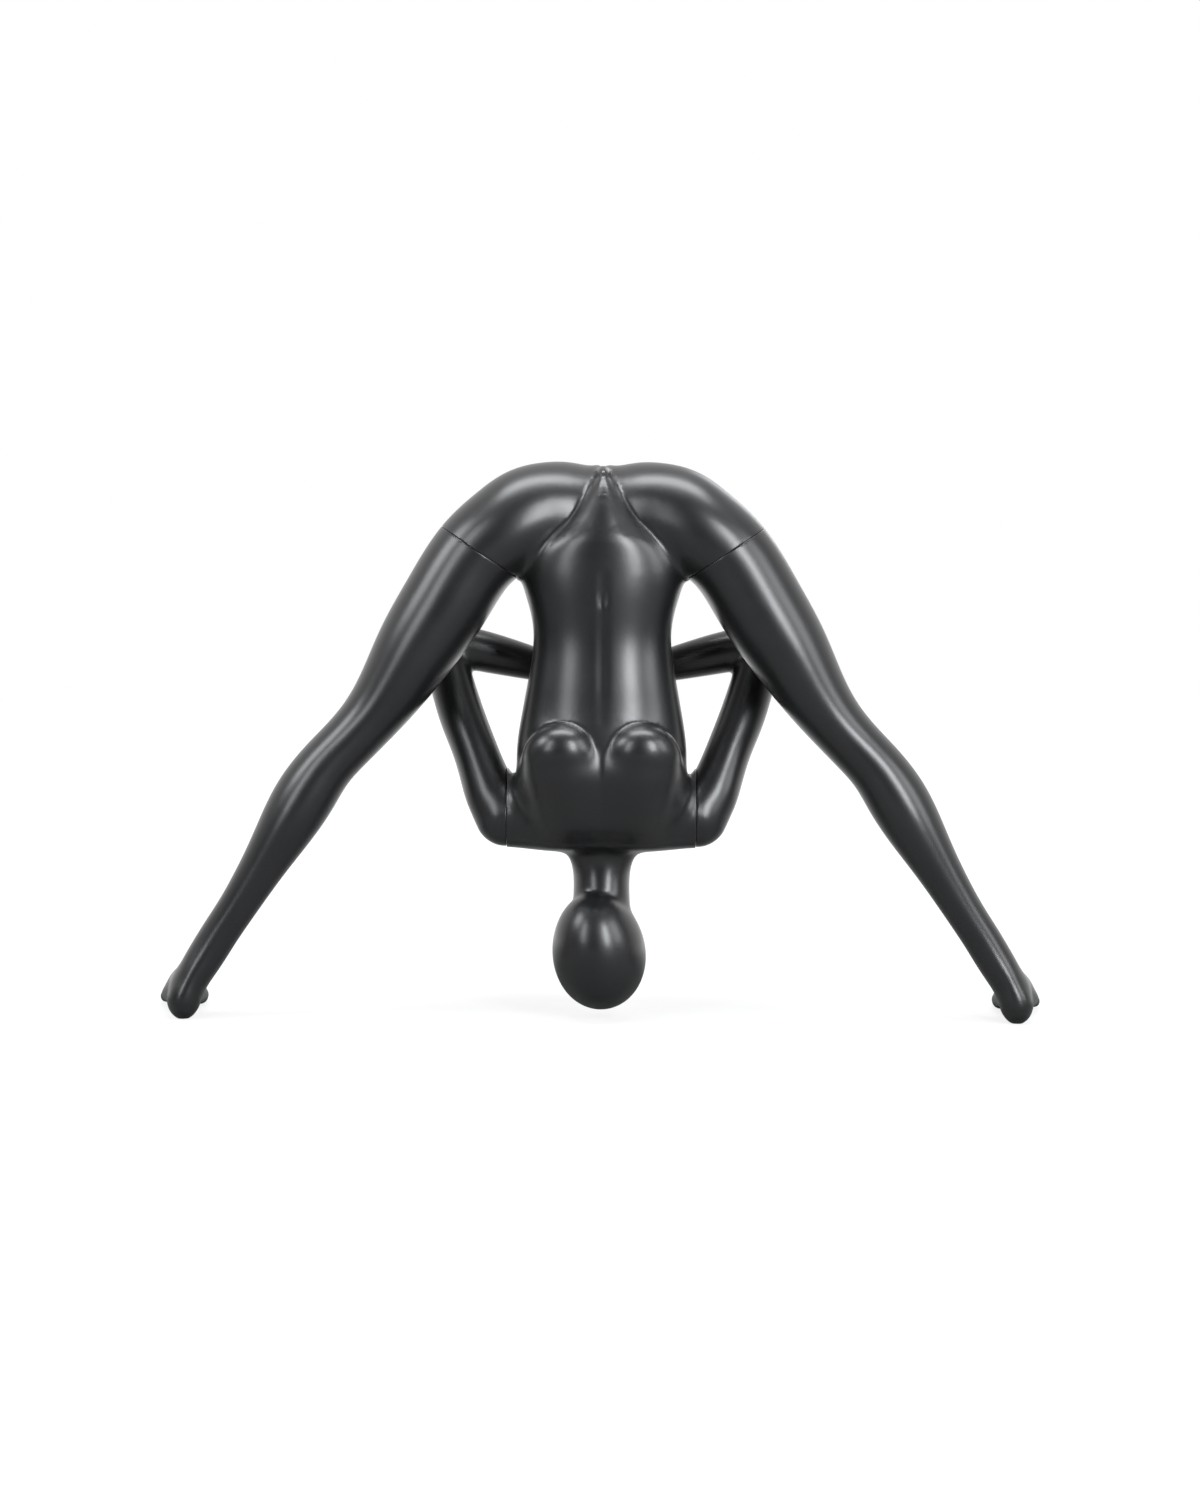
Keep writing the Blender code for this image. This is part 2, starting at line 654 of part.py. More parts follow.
def build_thigh(side, frame, out):
    """Spigot, dowel and board on the torso; socket and board in the leg. Local z runs down the leg."""
    face = SEAM_GAP / 2
    inner = face + THIGH_FLANGE
    rest = inner + HOLE_FIT
    spots = [(0, THIGH_SCREW_OFFSET), (0, -THIGH_SCREW_OFFSET)]
    peg = (out * DOWEL_OFFSET, 0)
    tube = SPIGOT_RADIUS + HOLE_FIT + SOCKET_WALL

    bm = bmesh.new()
    lathe(bm, [(0, -inner), (THIGH_FLANGE_RADIUS, -inner), (THIGH_FLANGE_RADIUS, -face),
               (SPIGOT_RADIUS, -face), (SPIGOT_RADIUS, SPIGOT_LENGTH - 2 * EDGE_BREAK),
               (SPIGOT_RADIUS - 2 * EDGE_BREAK, SPIGOT_LENGTH), (0, SPIGOT_LENGTH)], 24)
    spigot = placed(f"{side}_leg_spigot", bm, STEEL, frame)
    holes = bmesh.new()
    for spot in spots:
        screw_hole(holes, spot, -face, -1)
    boolean(spigot, placed(f"{side}_spigot_holes", holes, None, frame))

    bm = bmesh.new()
    end = DOWEL_LENGTH / 2
    lathe(bm, [(0, -end), (DOWEL_RADIUS - EDGE_BREAK, -end), (DOWEL_RADIUS, EDGE_BREAK - end),
               (DOWEL_RADIUS, end - EDGE_BREAK), (DOWEL_RADIUS - EDGE_BREAK, end), (0, end)], 16, peg)
    placed(f"{side}_thigh_dowel", bm, PLY, frame)

    tools = bmesh.new()
    for spot in spots:
        screw_hole(tools, spot, -face, -1)
    bore = DOWEL_RADIUS + HOLE_FIT
    depth = end + HOLE_FIT
    lathe(tools, [(0, -depth), (bore, -depth), (bore, 0), (0, 0)], 16, peg)
    board(f"{side}_thigh_board", frame, THIGH_BORE_RADIUS, -rest - THIGH_BOARD, -rest, tools)
    for number, spot in enumerate(spots, 1):
        screw(f"{side}_spigot_screw_{number}", frame, spot, -face, -1)

    bm = bmesh.new()
    slide = SPIGOT_RADIUS + HOLE_FIT
    lathe(bm, [(slide, face), (THIGH_FLANGE_RADIUS, face), (THIGH_FLANGE_RADIUS, inner), (tube, inner),
               (tube, SOCKET_LENGTH), (slide, SOCKET_LENGTH)], 24, ring=True)
    socket = placed(f"{side}_leg_socket", bm, STEEL, frame)
    holes = bmesh.new()
    for spot in spots:
        screw_hole(holes, spot, face, 1)
    boolean(socket, placed(f"{side}_socket_holes", holes, None, frame))

    tools = bmesh.new()
    for spot in spots:
        screw_hole(tools, spot, face, 1)
    lathe(tools, [(0, 0), (bore, 0), (bore, depth), (0, depth)], 16, peg)
    lathe(tools, [(0, 0), (tube + HOLE_FIT, 0), (tube + HOLE_FIT, 0.05), (0, 0.05)], 24)
    leg_board = board(f"{side}_leg_board", frame, THIGH_BORE_RADIUS, rest, rest + THIGH_BOARD, tools)
    leg_screws = [screw(f"{side}_socket_screw_{number}", frame, spot, face, 1)
                  for number, spot in enumerate(spots, 1)]
    return [socket, leg_board, *leg_screws]


def t_stud(name, frame, shank, flange_radius, flange, head_length, head_low, head, root):
    """Stud with its T head on the negative z side and, where it has one, a flange on the positive side."""
    face = SEAM_GAP / 2
    bm = bmesh.new()
    if flange:
        lathe(bm, [(0, -head_low), (shank, -head_low), (shank, face), (flange_radius, face),
                   (flange_radius, face + flange), (0, face + flange)], 20)
    else:
        lathe(bm, [(0, -head_low), (shank, -head_low), (shank, root), (0, root)], 16)
    made = placed(name, bm, STEEL, frame)
    bar = bmesh.new()
    block(bar, (head_length, 2 * shank - 0.001, head), (0, 0, -head_low - head / 2 + 0.0005))
    boolean(made, placed(name + "_bar", bar, None, frame), "UNION")
    return made


def keyhole_plate(name, frame, radius, thick, shank, head_length, turn, spots):
    face = SEAM_GAP / 2
    bm = bmesh.new()
    lathe(bm, [(0, -face - thick), (radius, -face - thick), (radius, -face), (0, -face)], 24)
    made = placed(name, bm, STEEL, frame)
    holes = bmesh.new()
    lathe(holes, [(0, -0.01), (shank + HOLE_FIT, -0.01), (shank + HOLE_FIT, 0.001), (0, 0.001)], 16)
    slot = bmesh.new()
    bar_slot(slot, head_length + 0.0012, 2 * shank, -0.01, 0.001, turn)
    boolean(made, placed(name + "_slot", slot, None, frame))
    for spot in spots:
        screw_hole(holes, spot, -face, -1)
    boolean(made, placed(name + "_holes", holes, None, frame))
    return made


def build_shoulder(side, frame, unlock):
    """Keyhole plate and board on the torso, T stud and board on the arm. Local z runs outward."""
    face = SEAM_GAP / 2
    under = face + SHOULDER_PLATE
    rest = under + HOLE_FIT
    across = Vector((-math.sin(unlock), math.cos(unlock))) * SHOULDER_SCREW_OFFSET
    spots = [tuple(across), tuple(-across)]
    keyhole_plate(f"{side}_shoulder_plate", frame, SHOULDER_PLATE_RADIUS, SHOULDER_PLATE,
                  SHOULDER_SHANK_RADIUS, SHOULDER_HEAD_LENGTH, unlock, spots)
    tools = bmesh.new()
    pocket = SHOULDER_HEAD_LENGTH / 2 + 0.002
    floor = under + SHOULDER_HEAD + 0.003
    lathe(tools, [(0, -floor), (pocket, -floor), (pocket, 0), (0, 0)], 24)
    for spot in spots:
        screw_hole(tools, spot, -face, -1)
    board(f"{side}_shoulder_board", frame, SHOULDER_BORE_RADIUS, -rest - SHOULDER_BOARD, -rest, tools)
    for number, spot in enumerate(spots, 1):
        screw(f"{side}_shoulder_screw_{number}", frame, spot, -face, -1)

    stud = t_stud(f"{side}_arm_stud", frame, SHOULDER_SHANK_RADIUS, SHOULDER_PLATE_RADIUS, SHOULDER_PLATE,
                  SHOULDER_HEAD_LENGTH, under + 0.0005, SHOULDER_HEAD, 0)
    arm_spots = [(0, SHOULDER_SCREW_OFFSET), (0, -SHOULDER_SCREW_OFFSET)]
    holes = bmesh.new()
    for spot in arm_spots:
        screw_hole(holes, spot, face, 1)
    boolean(stud, placed(f"{side}_stud_holes", holes, None, frame))
    tools = bmesh.new()
    for spot in arm_spots:
        screw_hole(tools, spot, face, 1)
    arm_board = board(f"{side}_arm_board", frame, SHOULDER_BORE_RADIUS, rest, rest + SHOULDER_BOARD, tools)
    arm_screws = [screw(f"{side}_arm_screw_{number}", frame, spot, face, 1)
                  for number, spot in enumerate(arm_spots, 1)]
    return [stud, arm_board, *arm_screws]


def build_wrist(side, frame, hand):
    """Keyhole plate and plug in the forearm, T stud in the hand. Local z runs into the hand."""
    under = SEAM_GAP / 2 + WRIST_PLATE
    rest = under + HOLE_FIT
    plate = keyhole_plate(f"{side}_wrist_plate", frame, WRIST_PLATE_RADIUS, WRIST_PLATE, WRIST_SHANK_RADIUS,
                          WRIST_HEAD_LENGTH, WRIST_UNLOCK, [])
    tools = bmesh.new()
    pocket = WRIST_HEAD_LENGTH / 2 + 0.0012
    floor = under + WRIST_HEAD + 0.002
    lathe(tools, [(0, -floor), (pocket, -floor), (pocket, 0), (0, 0)], 20)
    plug = board(f"{side}_wrist_plug", frame, WRIST_BORE_RADIUS, -rest - WRIST_PLUG, -rest, tools)
    stud = t_stud(f"{side}_hand_stud", frame, WRIST_SHANK_RADIUS, 0, 0, WRIST_HEAD_LENGTH,
                  under + 0.0005, WRIST_HEAD, WRIST_STUD_ROOT)
    bore = bmesh.new()
    wide = WRIST_SHANK_RADIUS + HOLE_FIT
    deep = WRIST_STUD_ROOT + HOLE_FIT
    lathe(bore, [(0, -0.01), (wide, -0.01), (wide, deep), (0, deep)], 16)
    boolean(hand, placed(f"{side}_hand_bore", bore, None, frame))
    return stud, [plug, plate]


def gather(name, frame, pieces):
    """Empty on the joint's axis with the pieces that move on it."""
    pivot = bpy.data.objects.new(name, None)
    pivot.matrix_world = frame
    bpy.context.scene.collection.objects.link(pivot)
    for piece in pieces:
        piece.parent = pivot
        piece.matrix_parent_inverse = frame.inverted()


def main():
    for old in list(bpy.data.objects):
        bpy.data.objects.remove(old)
    figure = Figure()
    shift = FRAME_SHIFT
    half = SEAM_GAP / 2
    thigh = {}
    shoulder = {}
    wrist = {}
    for side, mirror in (("left", True), ("right", False)):
        down = mirrored((math.sin(THIGH_TILT), 0, -math.cos(THIGH_TILT)), mirror)
        thigh[side] = seat(mirrored((THIGH_SEAM_X, shift, THIGH_SEAM_Z), mirror), down)
        outward = mirrored((1, 0, 0), mirror)
        inward = mirrored((-1, 0, 0), mirror)
        shoulder[side] = seat(mirrored((SHOULDER_SEAM_X, SHOULDER_Y + shift, SHOULDER_Z), mirror), outward)
        wrist[side] = seat(mirrored((WRIST_SEAM_X, WRIST_Y + shift, WRIST_Z), mirror), inward)

    torso_box = ((-0.34, -0.19, -0.01), (0.34, 0.14, 0.91))
    leg_box = ((-0.03, -0.12, -0.04), (0.74, 0.18, 0.90))
    arm_box = ((0.0, -0.09, 0.25), (0.32, 0.18, 0.65))
    hand_box = ((-0.01, 0.06, 0.35), (0.12, 0.19, 0.59))
    cuts = []
    for side, out in (("left", 1), ("right", -1)):
        cuts.append((thigh[side], (0.25, 0.3, 0.2), (out * (0.125 - THIGH_REACH), 0, 0.1 - half)))
        cuts.append((shoulder[side], (0.36, 0.3, 0.2), (0, 0, 0.1 - half)))
    torso_skin = skin(figure.torso_field, *torso_box, 0.010)
    torso_inside = skin(lambda points: figure.torso_field(points) + WALL, *torso_box, 0.012)
    torso = shell("torso_shell", torso_skin, torso_inside, False, TORSO_FACES, TORSO_HOLLOW_FACES, cuts)
    leg_skin = skin(figure.leg_field, *leg_box, 0.009)
    leg_inside = skin(lambda points: figure.leg_field(points) + WALL, *leg_box, 0.010)
    arm_skin = skin(figure.arm_field, *arm_box, 0.007)
    arm_inside = skin(lambda points: figure.arm_field(points) + WALL, *arm_box, 0.008)
    hand_skin = skin(figure.hand_field, *hand_box, 0.0035)

    for side, mirror, out in (("left", True, 1), ("right", False, -1)):
        floor = (Matrix(), (2, 1, 0.1), (0, 0, -0.05))
        leg_cuts = [(thigh[side], (0.5, 0.4, 0.3), (0, 0, half - 0.15)), floor]
        leg = shell(f"{side}_leg_shell", leg_skin, leg_inside, mirror, LEG_FACES, LEG_HOLLOW_FACES, leg_cuts)
        arm_cuts = [(shoulder[side], (0.36, 0.3, 0.2), (0, 0, half - 0.1)),
                    (wrist[side], (0.2, 0.2, 0.1), (0, 0, 0.05 - half))]
        arm = shell(f"{side}_arm_shell", arm_skin, arm_inside, mirror, ARM_FACES, ARM_HOLLOW_FACES, arm_cuts)
        hand = add(f"{side}_hand", skin_mesh(*hand_skin, mirror), BLACK)
        thin(hand, HAND_FACES)
        box = bmesh.new()
        block(box, (0.2, 0.2, 0.1), (0, 0, half - 0.05))
        boolean(hand, placed(f"{side}_hand_cut", box, None, wrist[side]))

        deep = half + THIGH_FLANGE + HOLE_FIT + THIGH_BOARD + COLLAR_SPARE
        collar(*torso, thigh[side], -deep, 0.06, THIGH_BORE_RADIUS, out * (0.12 - THIGH_REACH))
        collar(*leg, thigh[side], -0.06, deep, THIGH_BORE_RADIUS)
        deep = half + SHOULDER_PLATE + HOLE_FIT + SHOULDER_BOARD + COLLAR_SPARE
        collar(*torso, shoulder[side], -deep, 0.06, SHOULDER_BORE_RADIUS)
        collar(*arm, shoulder[side], -0.06, deep, SHOULDER_BORE_RADIUS)
        deep = half + WRIST_PLATE + HOLE_FIT + WRIST_PLUG + COLLAR_SPARE
        collar(*arm, wrist[side], -deep, 0.03, WRIST_BORE_RADIUS)

        leg_parts = build_thigh(side, thigh[side], out)
        arm_parts = build_shoulder(side, shoulder[side], out * SHOULDER_UNLOCK)
        stud, wrist_parts = build_wrist(side, wrist[side], hand)
        gather(f"{side}_leg", thigh[side], [leg[0], *leg_parts])
        gather(f"{side}_arm", shoulder[side], [arm[0], *arm_parts, *wrist_parts])
        gather(f"{side}_hand_pivot", wrist[side], [hand, stud])


if __name__ == "__main__":
    main()
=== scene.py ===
"""Looks of the folded display mannequin: moulded shells, black lacquer, plywood and plated fittings.

Metres, +Z up. The figure's back is towards +Y, its left side towards -X. Shapes are given for the
+X side and mirrored. Every moulded part is the zero surface of a blended field, cut at its seams
and bored for its boards.
"""
import json
import math
from collections import namedtuple

import bmesh
import bpy
import numpy as np
from mathutils import Matrix, Vector

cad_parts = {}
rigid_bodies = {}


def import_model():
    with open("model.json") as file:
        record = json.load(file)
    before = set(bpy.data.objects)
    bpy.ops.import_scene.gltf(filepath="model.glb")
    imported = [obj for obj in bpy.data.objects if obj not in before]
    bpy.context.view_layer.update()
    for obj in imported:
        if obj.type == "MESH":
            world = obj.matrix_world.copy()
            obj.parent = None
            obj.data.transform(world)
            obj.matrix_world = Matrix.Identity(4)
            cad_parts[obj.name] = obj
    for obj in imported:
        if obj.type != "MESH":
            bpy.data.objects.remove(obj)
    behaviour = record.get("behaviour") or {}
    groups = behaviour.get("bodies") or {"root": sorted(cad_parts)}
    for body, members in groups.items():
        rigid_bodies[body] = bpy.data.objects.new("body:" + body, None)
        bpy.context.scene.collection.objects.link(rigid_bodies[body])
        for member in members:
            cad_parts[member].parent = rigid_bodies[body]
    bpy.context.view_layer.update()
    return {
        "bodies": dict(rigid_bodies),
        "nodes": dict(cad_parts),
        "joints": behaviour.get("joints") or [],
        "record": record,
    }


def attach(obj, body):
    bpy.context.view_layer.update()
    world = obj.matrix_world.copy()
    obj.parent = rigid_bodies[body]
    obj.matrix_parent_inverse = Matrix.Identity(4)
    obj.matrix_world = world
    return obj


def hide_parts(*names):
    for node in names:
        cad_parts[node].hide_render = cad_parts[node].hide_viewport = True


# Seams and bores, as the fittings need them
SEAM_GAP = 0.001
SEAM_LIP = 0.0007
SEAM_LIP_INSET = 0.0004
SEAM_SNAP = 0.0003
SEAM_MARGIN = 0.03
SEAM_BOX_DEPTH = 0.15
CUT_TOLERANCE = 1e-5
SOLE_TOLERANCE = 1e-6
BORE_SIDES = 72
FRAME_SHIFT = -0.0316
THIGH_SEAM_X = 0.194
THIGH_SEAM_Z = 0.738
THIGH_TILT = math.radians(33.5)
THIGH_BORE_RADIUS = 0.056
THIGH_BORE_DEPTH = 0.0238
THIGH_REACH = 0.0745
SOCKET_CLEAR_RADIUS = 0.0182
SOCKET_CLEAR_DEPTH = 0.099
SHOULDER_SEAM_X = 0.150
SHOULDER_Y = 0.020
SHOULDER_Z = 0.326
SHOULDER_BORE_RADIUS = 0.0335
SHOULDER_BORE_DEPTH = 0.0193
WRIST_SEAM_X = 0.060
WRIST_Y = 0.1365
WRIST_Z = 0.5445
WRIST_BORE_RADIUS = 0.0158
WRIST_BORE_DEPTH = 0.0154
HAND_STUD_RADIUS = 0.0033
HAND_STUD_DEPTH = 0.0163
SHARP_ANGLE = math.radians(48)

# Edges of the fittings
WELD_REACH = 0.00001
EDGE_ROUND = 0.0002
EDGE_ANGLE = math.radians(40)

# Paper floor: its glow from near to far, and where it begins to show in the lacquer
FLOOR_RADIUS = 9.0
FLOOR_DROP = 0.0004
PAPER_GREY = 0.20
PAPER_GLOW = 0.80
PAPER_NEAR = 0.6
PAPER_FAR = 2.2
PAPER_DARK_Y = 0.2
PAPER_PALE_Y = 1.4
# Room from dark in front to pale behind
ROOM_FRONT = 0.02
ROOM_BACK = 0.80
ROOM_TURN = 0.6
COOL_WHITE = (0.95, 0.975, 1.0)
LIT_HEIGHT = 0.45
# Softboxes: name, place, width and height, watts
SOFTBOXES = [
    ("right_softbox", (1.9, -3.1, 1.7), (0.9, 2.2), 105),
    ("right_side_softbox", (3.1, -1.5, 1.8), (1.3, 2.2), 38),
    ("left_softbox", (-2.2, -2.8, 1.7), (0.9, 2.2), 40),
    ("left_high_softbox", (-2.6, -0.9, 2.3), (1.1, 1.2), 32),
    ("top_softbox", (0, -0.4, 3.2), (2.6, 0.9), 70),
    ("back_softbox", (1.4, 3.2, 2.3), (0.9, 2.0), 8),
]
# Camera, far back and a little above the hips
CAMERA_AWAY = 4.6
CAMERA_HEIGHT = 0.76
CAMERA_LENS = 70.1
CAMERA_SENSOR = 36
CAMERA_SHIFT = -3 / 1500
CAMERA_DIP = math.atan(212 / 2920)
CAMERA_ROLL = math.radians(-0.35)

# Grid cells of the moulded skins before they are refined
TORSO_CELL = 0.009
LEG_CELL = 0.0085
ARM_CELL = 0.007
HAND_CELL = 0.0034
# Boxes in which the skins lie
TORSO_BOX = (-0.34, -0.19, -0.01), (0.34, 0.14, 0.91)
LEG_BOX = (-0.03, -0.12, -0.04), (0.74, 0.18, 0.90)
ARM_BOX = (0.0, -0.09, 0.25), (0.32, 0.18, 0.65)
HAND_BOX = (-0.01, 0.06, 0.35), (0.12, 0.19, 0.59)
RELAX_ROUNDS = 3
GRADIENT_STEP = 0.0005
LEAST_SLOPE = 0.05
LONGEST_MOVE = 0.01
POINTS_AT_ONCE = 40000

Station = namedtuple("Station", "x y z wide deep")

# Crotch to collar, upside down
TRUNK = [
    Station(0, 0.007, 0.854, 0.013, 0.047),
    Station(0, 0.007, 0.836, 0.031, 0.064),
    Station(0, 0.009, 0.816, 0.051, 0.080),
    Station(0, 0.013, 0.782, 0.083, 0.094),
    Station(0, 0.012, 0.742, 0.113, 0.0985),
    Station(0, 0.005, 0.700, 0.1265, 0.092),
    Station(0, 0.000, 0.655, 0.1165, 0.084),
    Station(0, -0.0015, 0.612, 0.1085, 0.0785),
    Station(0, -0.001, 0.570, 0.111, 0.081),
    Station(0, 0.000, 0.525, 0.1185, 0.088),
    Station(0, 0.001, 0.473, 0.128, 0.096),
    Station(0, -0.003, 0.418, 0.134, 0.103),
    Station(0, 0.000, 0.370, 0.131, 0.098),
    Station(0, 0.007, 0.330, 0.127, 0.083),
    Station(0, 0.015, 0.301, 0.123, 0.064),
]
TRUNK_POWER = 2.1
TRUNK_CAP = 0.020
NECK = [
    Station(0.001, 0.032, 0.310, 0.066, 0.054),
    Station(0.001, 0.032, 0.266, 0.053, 0.050),
    Station(0.001, 0.028, 0.228, 0.0455, 0.049),
    Station(0.001, 0.021, 0.190, 0.045, 0.050),
    Station(0.001, 0.012, 0.150, 0.048, 0.055),
]
# Pelvis to heel
LEG = [
    Station(0.064, 0.024, 0.793, 0.078, 0.068),
    Station(0.106, 0.014, 0.797, 0.0775, 0.074),
    Station(0.146, 0.006, 0.777, 0.0745, 0.078),
    Station(0.194, 0.002, 0.738, 0.0705, 0.076),
    Station(0.245, 0.001, 0.662, 0.0695, 0.074),
    Station(0.292, 0.001, 0.587, 0.0645, 0.070),
    Station(0.339, 0.001, 0.511, 0.0525, 0.061),
    Station(0.3675, 0.000, 0.473, 0.0468, 0.0565),
    Station(0.401, -0.003, 0.4356, 0.0443, 0.0540),
    Station(0.4355, -0.008, 0.398, 0.0450, 0.0530),
    Station(0.462, -0.012, 0.360, 0.0478, 0.0535),
    Station(0.485, -0.015, 0.322, 0.0465, 0.0520),
    Station(0.5075, -0.017, 0.284, 0.0415, 0.0470),
    Station(0.530, -0.018, 0.2466, 0.0362, 0.0415),
    Station(0.553, -0.018, 0.209, 0.0325, 0.0375),
    Station(0.577, -0.017, 0.171, 0.0302, 0.0355),
    Station(0.602, -0.016, 0.133, 0.0296, 0.0350),
    Station(0.625, -0.016, 0.096, 0.0292, 0.0365),
    Station(0.646, -0.018, 0.060, 0.0266, 0.0385),
    Station(0.658, -0.020, 0.030, 0.0225, 0.0370),
]
# Heel to toes, half width and half height
FOOT = [
    Station(0.658, -0.034, 0.026, 0.0200, 0.0275),
    Station(0.661, 0.000, 0.036, 0.0230, 0.0380),
    Station(0.665, 0.032, 0.036, 0.0280, 0.0370),
    Station(0.670, 0.068, 0.0265, 0.0340, 0.0275),
    Station(0.674, 0.100, 0.0185, 0.0375, 0.0200),
    Station(0.677, 0.124, 0.0130, 0.0370, 0.0150),
]
# Toes on the foot's line: side offset, reach, radius; big toe first
TOES = [
    (-0.0255, 0.178, 0.0115),
    (-0.0075, 0.180, 0.0088),
    (0.0065, 0.174, 0.0083),
    (0.0195, 0.165, 0.0080),
    (0.0310, 0.154, 0.0078),
]
TOE_ROOT = 0.115
TOE_OUT = math.radians(7.5)
TOE_LIFTS = (0.0125, 0.0115, 0.0070)
TOE_SIZES = (1.0, 1.0, 0.9)
SHOULDER = [
    Station(0.060, 0.012, 0.321, 0.0515, 0.050),
    Station(0.110, 0.016, 0.3195, 0.0500, 0.047),
    Station(0.152, 0.021, 0.3190, 0.0470, 0.0425),
]
UPPER_ARM = [
    Station(0.155, 0.022, 0.3215, 0.0450, 0.0425),
    Station(0.173, 0.030, 0.350, 0.0425, 0.0415),
    Station(0.1875, 0.042, 0.382, 0.0385, 0.0395),
    Station(0.203, 0.058, 0.422, 0.0360, 0.0375),
    Station(0.2225, 0.080, 0.4685, 0.0363, 0.0370),
    Station(0.236, 0.097, 0.506, 0.0358, 0.0360),
    Station(0.248, 0.114, 0.548, 0.0340, 0.0345),
    Station(0.2565, 0.127, 0.587, 0.0310, 0.0320),
]
FOREARM = [
    Station(0.254, 0.128, 0.590, 0.0320, 0.0325),
    Station(0.205, 0.131, 0.5785, 0.0335, 0.0330),
    Station(0.160, 0.133, 0.568, 0.0312, 0.0300),
    Station(0.117, 0.135, 0.5575, 0.0275, 0.0262),
    Station(0.085, 0.136, 0.550, 0.0245, 0.0230),
    Station(0.060, 0.1365, 0.5445, 0.0235, 0.0215),
    Station(0.038, 0.137, 0.5395, 0.0235, 0.0215),
]
# Half thickness and half breadth
PALM = [
    Station(0.085, 0.136, 0.550, 0.0245, 0.0230),
    Station(0.060, 0.1365, 0.5445, 0.0235, 0.0215),
    Station(0.0385, 0.137, 0.532, 0.0195, 0.0240),
    Station(0.0230, 0.138, 0.507, 0.0165, 0.0310),
    Station(0.0170, 0.139, 0.475, 0.0145, 0.0355),
    Station(0.0155, 0.140, 0.446, 0.0120, 0.0345),
]
# Fingers from the index to the little one: side offset, length, radius
FINGERS = [
    (0.0265, 0.070, 0.0086),
    (0.0090, 0.079, 0.0088),
    (-0.0085, 0.073, 0.0084),
    (-0.0255, 0.056, 0.0076),
]
FINGER_ROOT = Station(0.0145, 0.140, 0.452, 0, 0)
FINGER_TIP_X = 0.0122
FINGER_TIP_DRIFT = 0.004
FINGER_CLOSING = 0.12
FINGER_BOW = 0.001
FINGER_ROOT_SIZE = 1.08
FINGER_TIP_THICK = 0.74
FINGER_TIP_BROAD = 0.8
THUMB = [
    Station(0.0215, 0.152, 0.510, 0.0130, 0.0130),
    Station(0.0165, 0.172, 0.481, 0.0112, 0.0112),
    Station(0.0140, 0.181, 0.454, 0.0098, 0.0098),
    Station(0.0125, 0.183, 0.433, 0.0082, 0.0082),
]
HEAD_CENTRE = (-0.003, -0.004, 0.1085)
HEAD_RADII = (0.0735, 0.083, 0.0965)
HEAD_TAPER = 0.07
HEAD_LEAN = math.radians(22)
HEAD_TURN = math.radians(7)
HEAD_TIP = math.radians(6)
BREAST_CENTRE = (0.062, -0.070, 0.416)
BREAST_RADII = (0.062, 0.056, 0.058)
BREAST_TAPER = 0.118
BREAST_LEAN = 0.27
BREAST_NARROW = 0.35
BUTTOCK_CENTRE = (0.058, 0.045, 0.786)
BUTTOCK_RADII = (0.070, 0.082, 0.086)
SADDLE_CENTRE = (0, 0.042, 0.812)
SADDLE_RADII = (0.060, 0.064, 0.062)
CLEFT_CENTRE = (0, 0.040, 0.878)
CLEFT_RADII = (0.005, 0.060, 0.006)
KNEECAP_CENTRE = (0.396, 0.032, 0.440)
KNEECAP_RADII = (0.026, 0.026, 0.030)
NAVEL_CENTRE = (0, -0.090, 0.664)
NAVEL_RADII = (0.0048, 0.0135, 0.016)
# Shallow groove down the belly
MIDLINE = [
    Station(0, -0.095, 0.700, 0.006, 0.006),
    Station(0, -0.092, 0.655, 0.006, 0.006),
    Station(0, -0.088, 0.612, 0.006, 0.006),
    Station(0, -0.090, 0.570, 0.006, 0.006),
    Station(0, -0.096, 0.525, 0.006, 0.006),
    Station(0, -0.105, 0.480, 0.006, 0.006),
]
SPINE = [
    Station(0, 0.121, 0.720, 0.006, 0.006),
    Station(0, 0.091, 0.640, 0.007, 0.006),
    Station(0, 0.087, 0.580, 0.007, 0.006),
    Station(0, 0.101, 0.490, 0.007, 0.006),
    Station(0, 0.108, 0.400, 0.006, 0.006),
]
BLADE_CENTRE = (0.068, 0.080, 0.388)
BLADE_RADII = (0.044, 0.018, 0.064)

# Fillets where the fields meet
BUTTOCK_FILLET = 0.05
SADDLE_FILLET = 0.03
COLLAR_FILLET = 0.02
SHOULDER_FILLET = 0.05
BLADE_FILLET = 0.055
NECK_FILLET = 0.045
HEAD_FILLET = 0.012
SPINE_FILLET = 0.03
MIDLINE_FILLET = 0.014
CLEFT_FILLET = 0.008
NAVEL_FILLET = 0.006
TOE_FILLET = 0.006
KNEE_FILLET = 0.03
ANKLE_FILLET = 0.03
ELBOW_FILLET = 0.02
THUMB_FILLET = 0.012
FINGER_FILLET = 0.005
# Fillets that widen: by how much, and from where to where
CREASE_FILLET = 0.006
CREASE_OUTWARD = (0.026, 0.045, 0.11)
CREASE_BACKWARD = (0.03, -0.03, 0.05)
FOLD_FILLET = 0.006
FOLD_TO_COLLAR = (0.06, -0.445, -0.38)


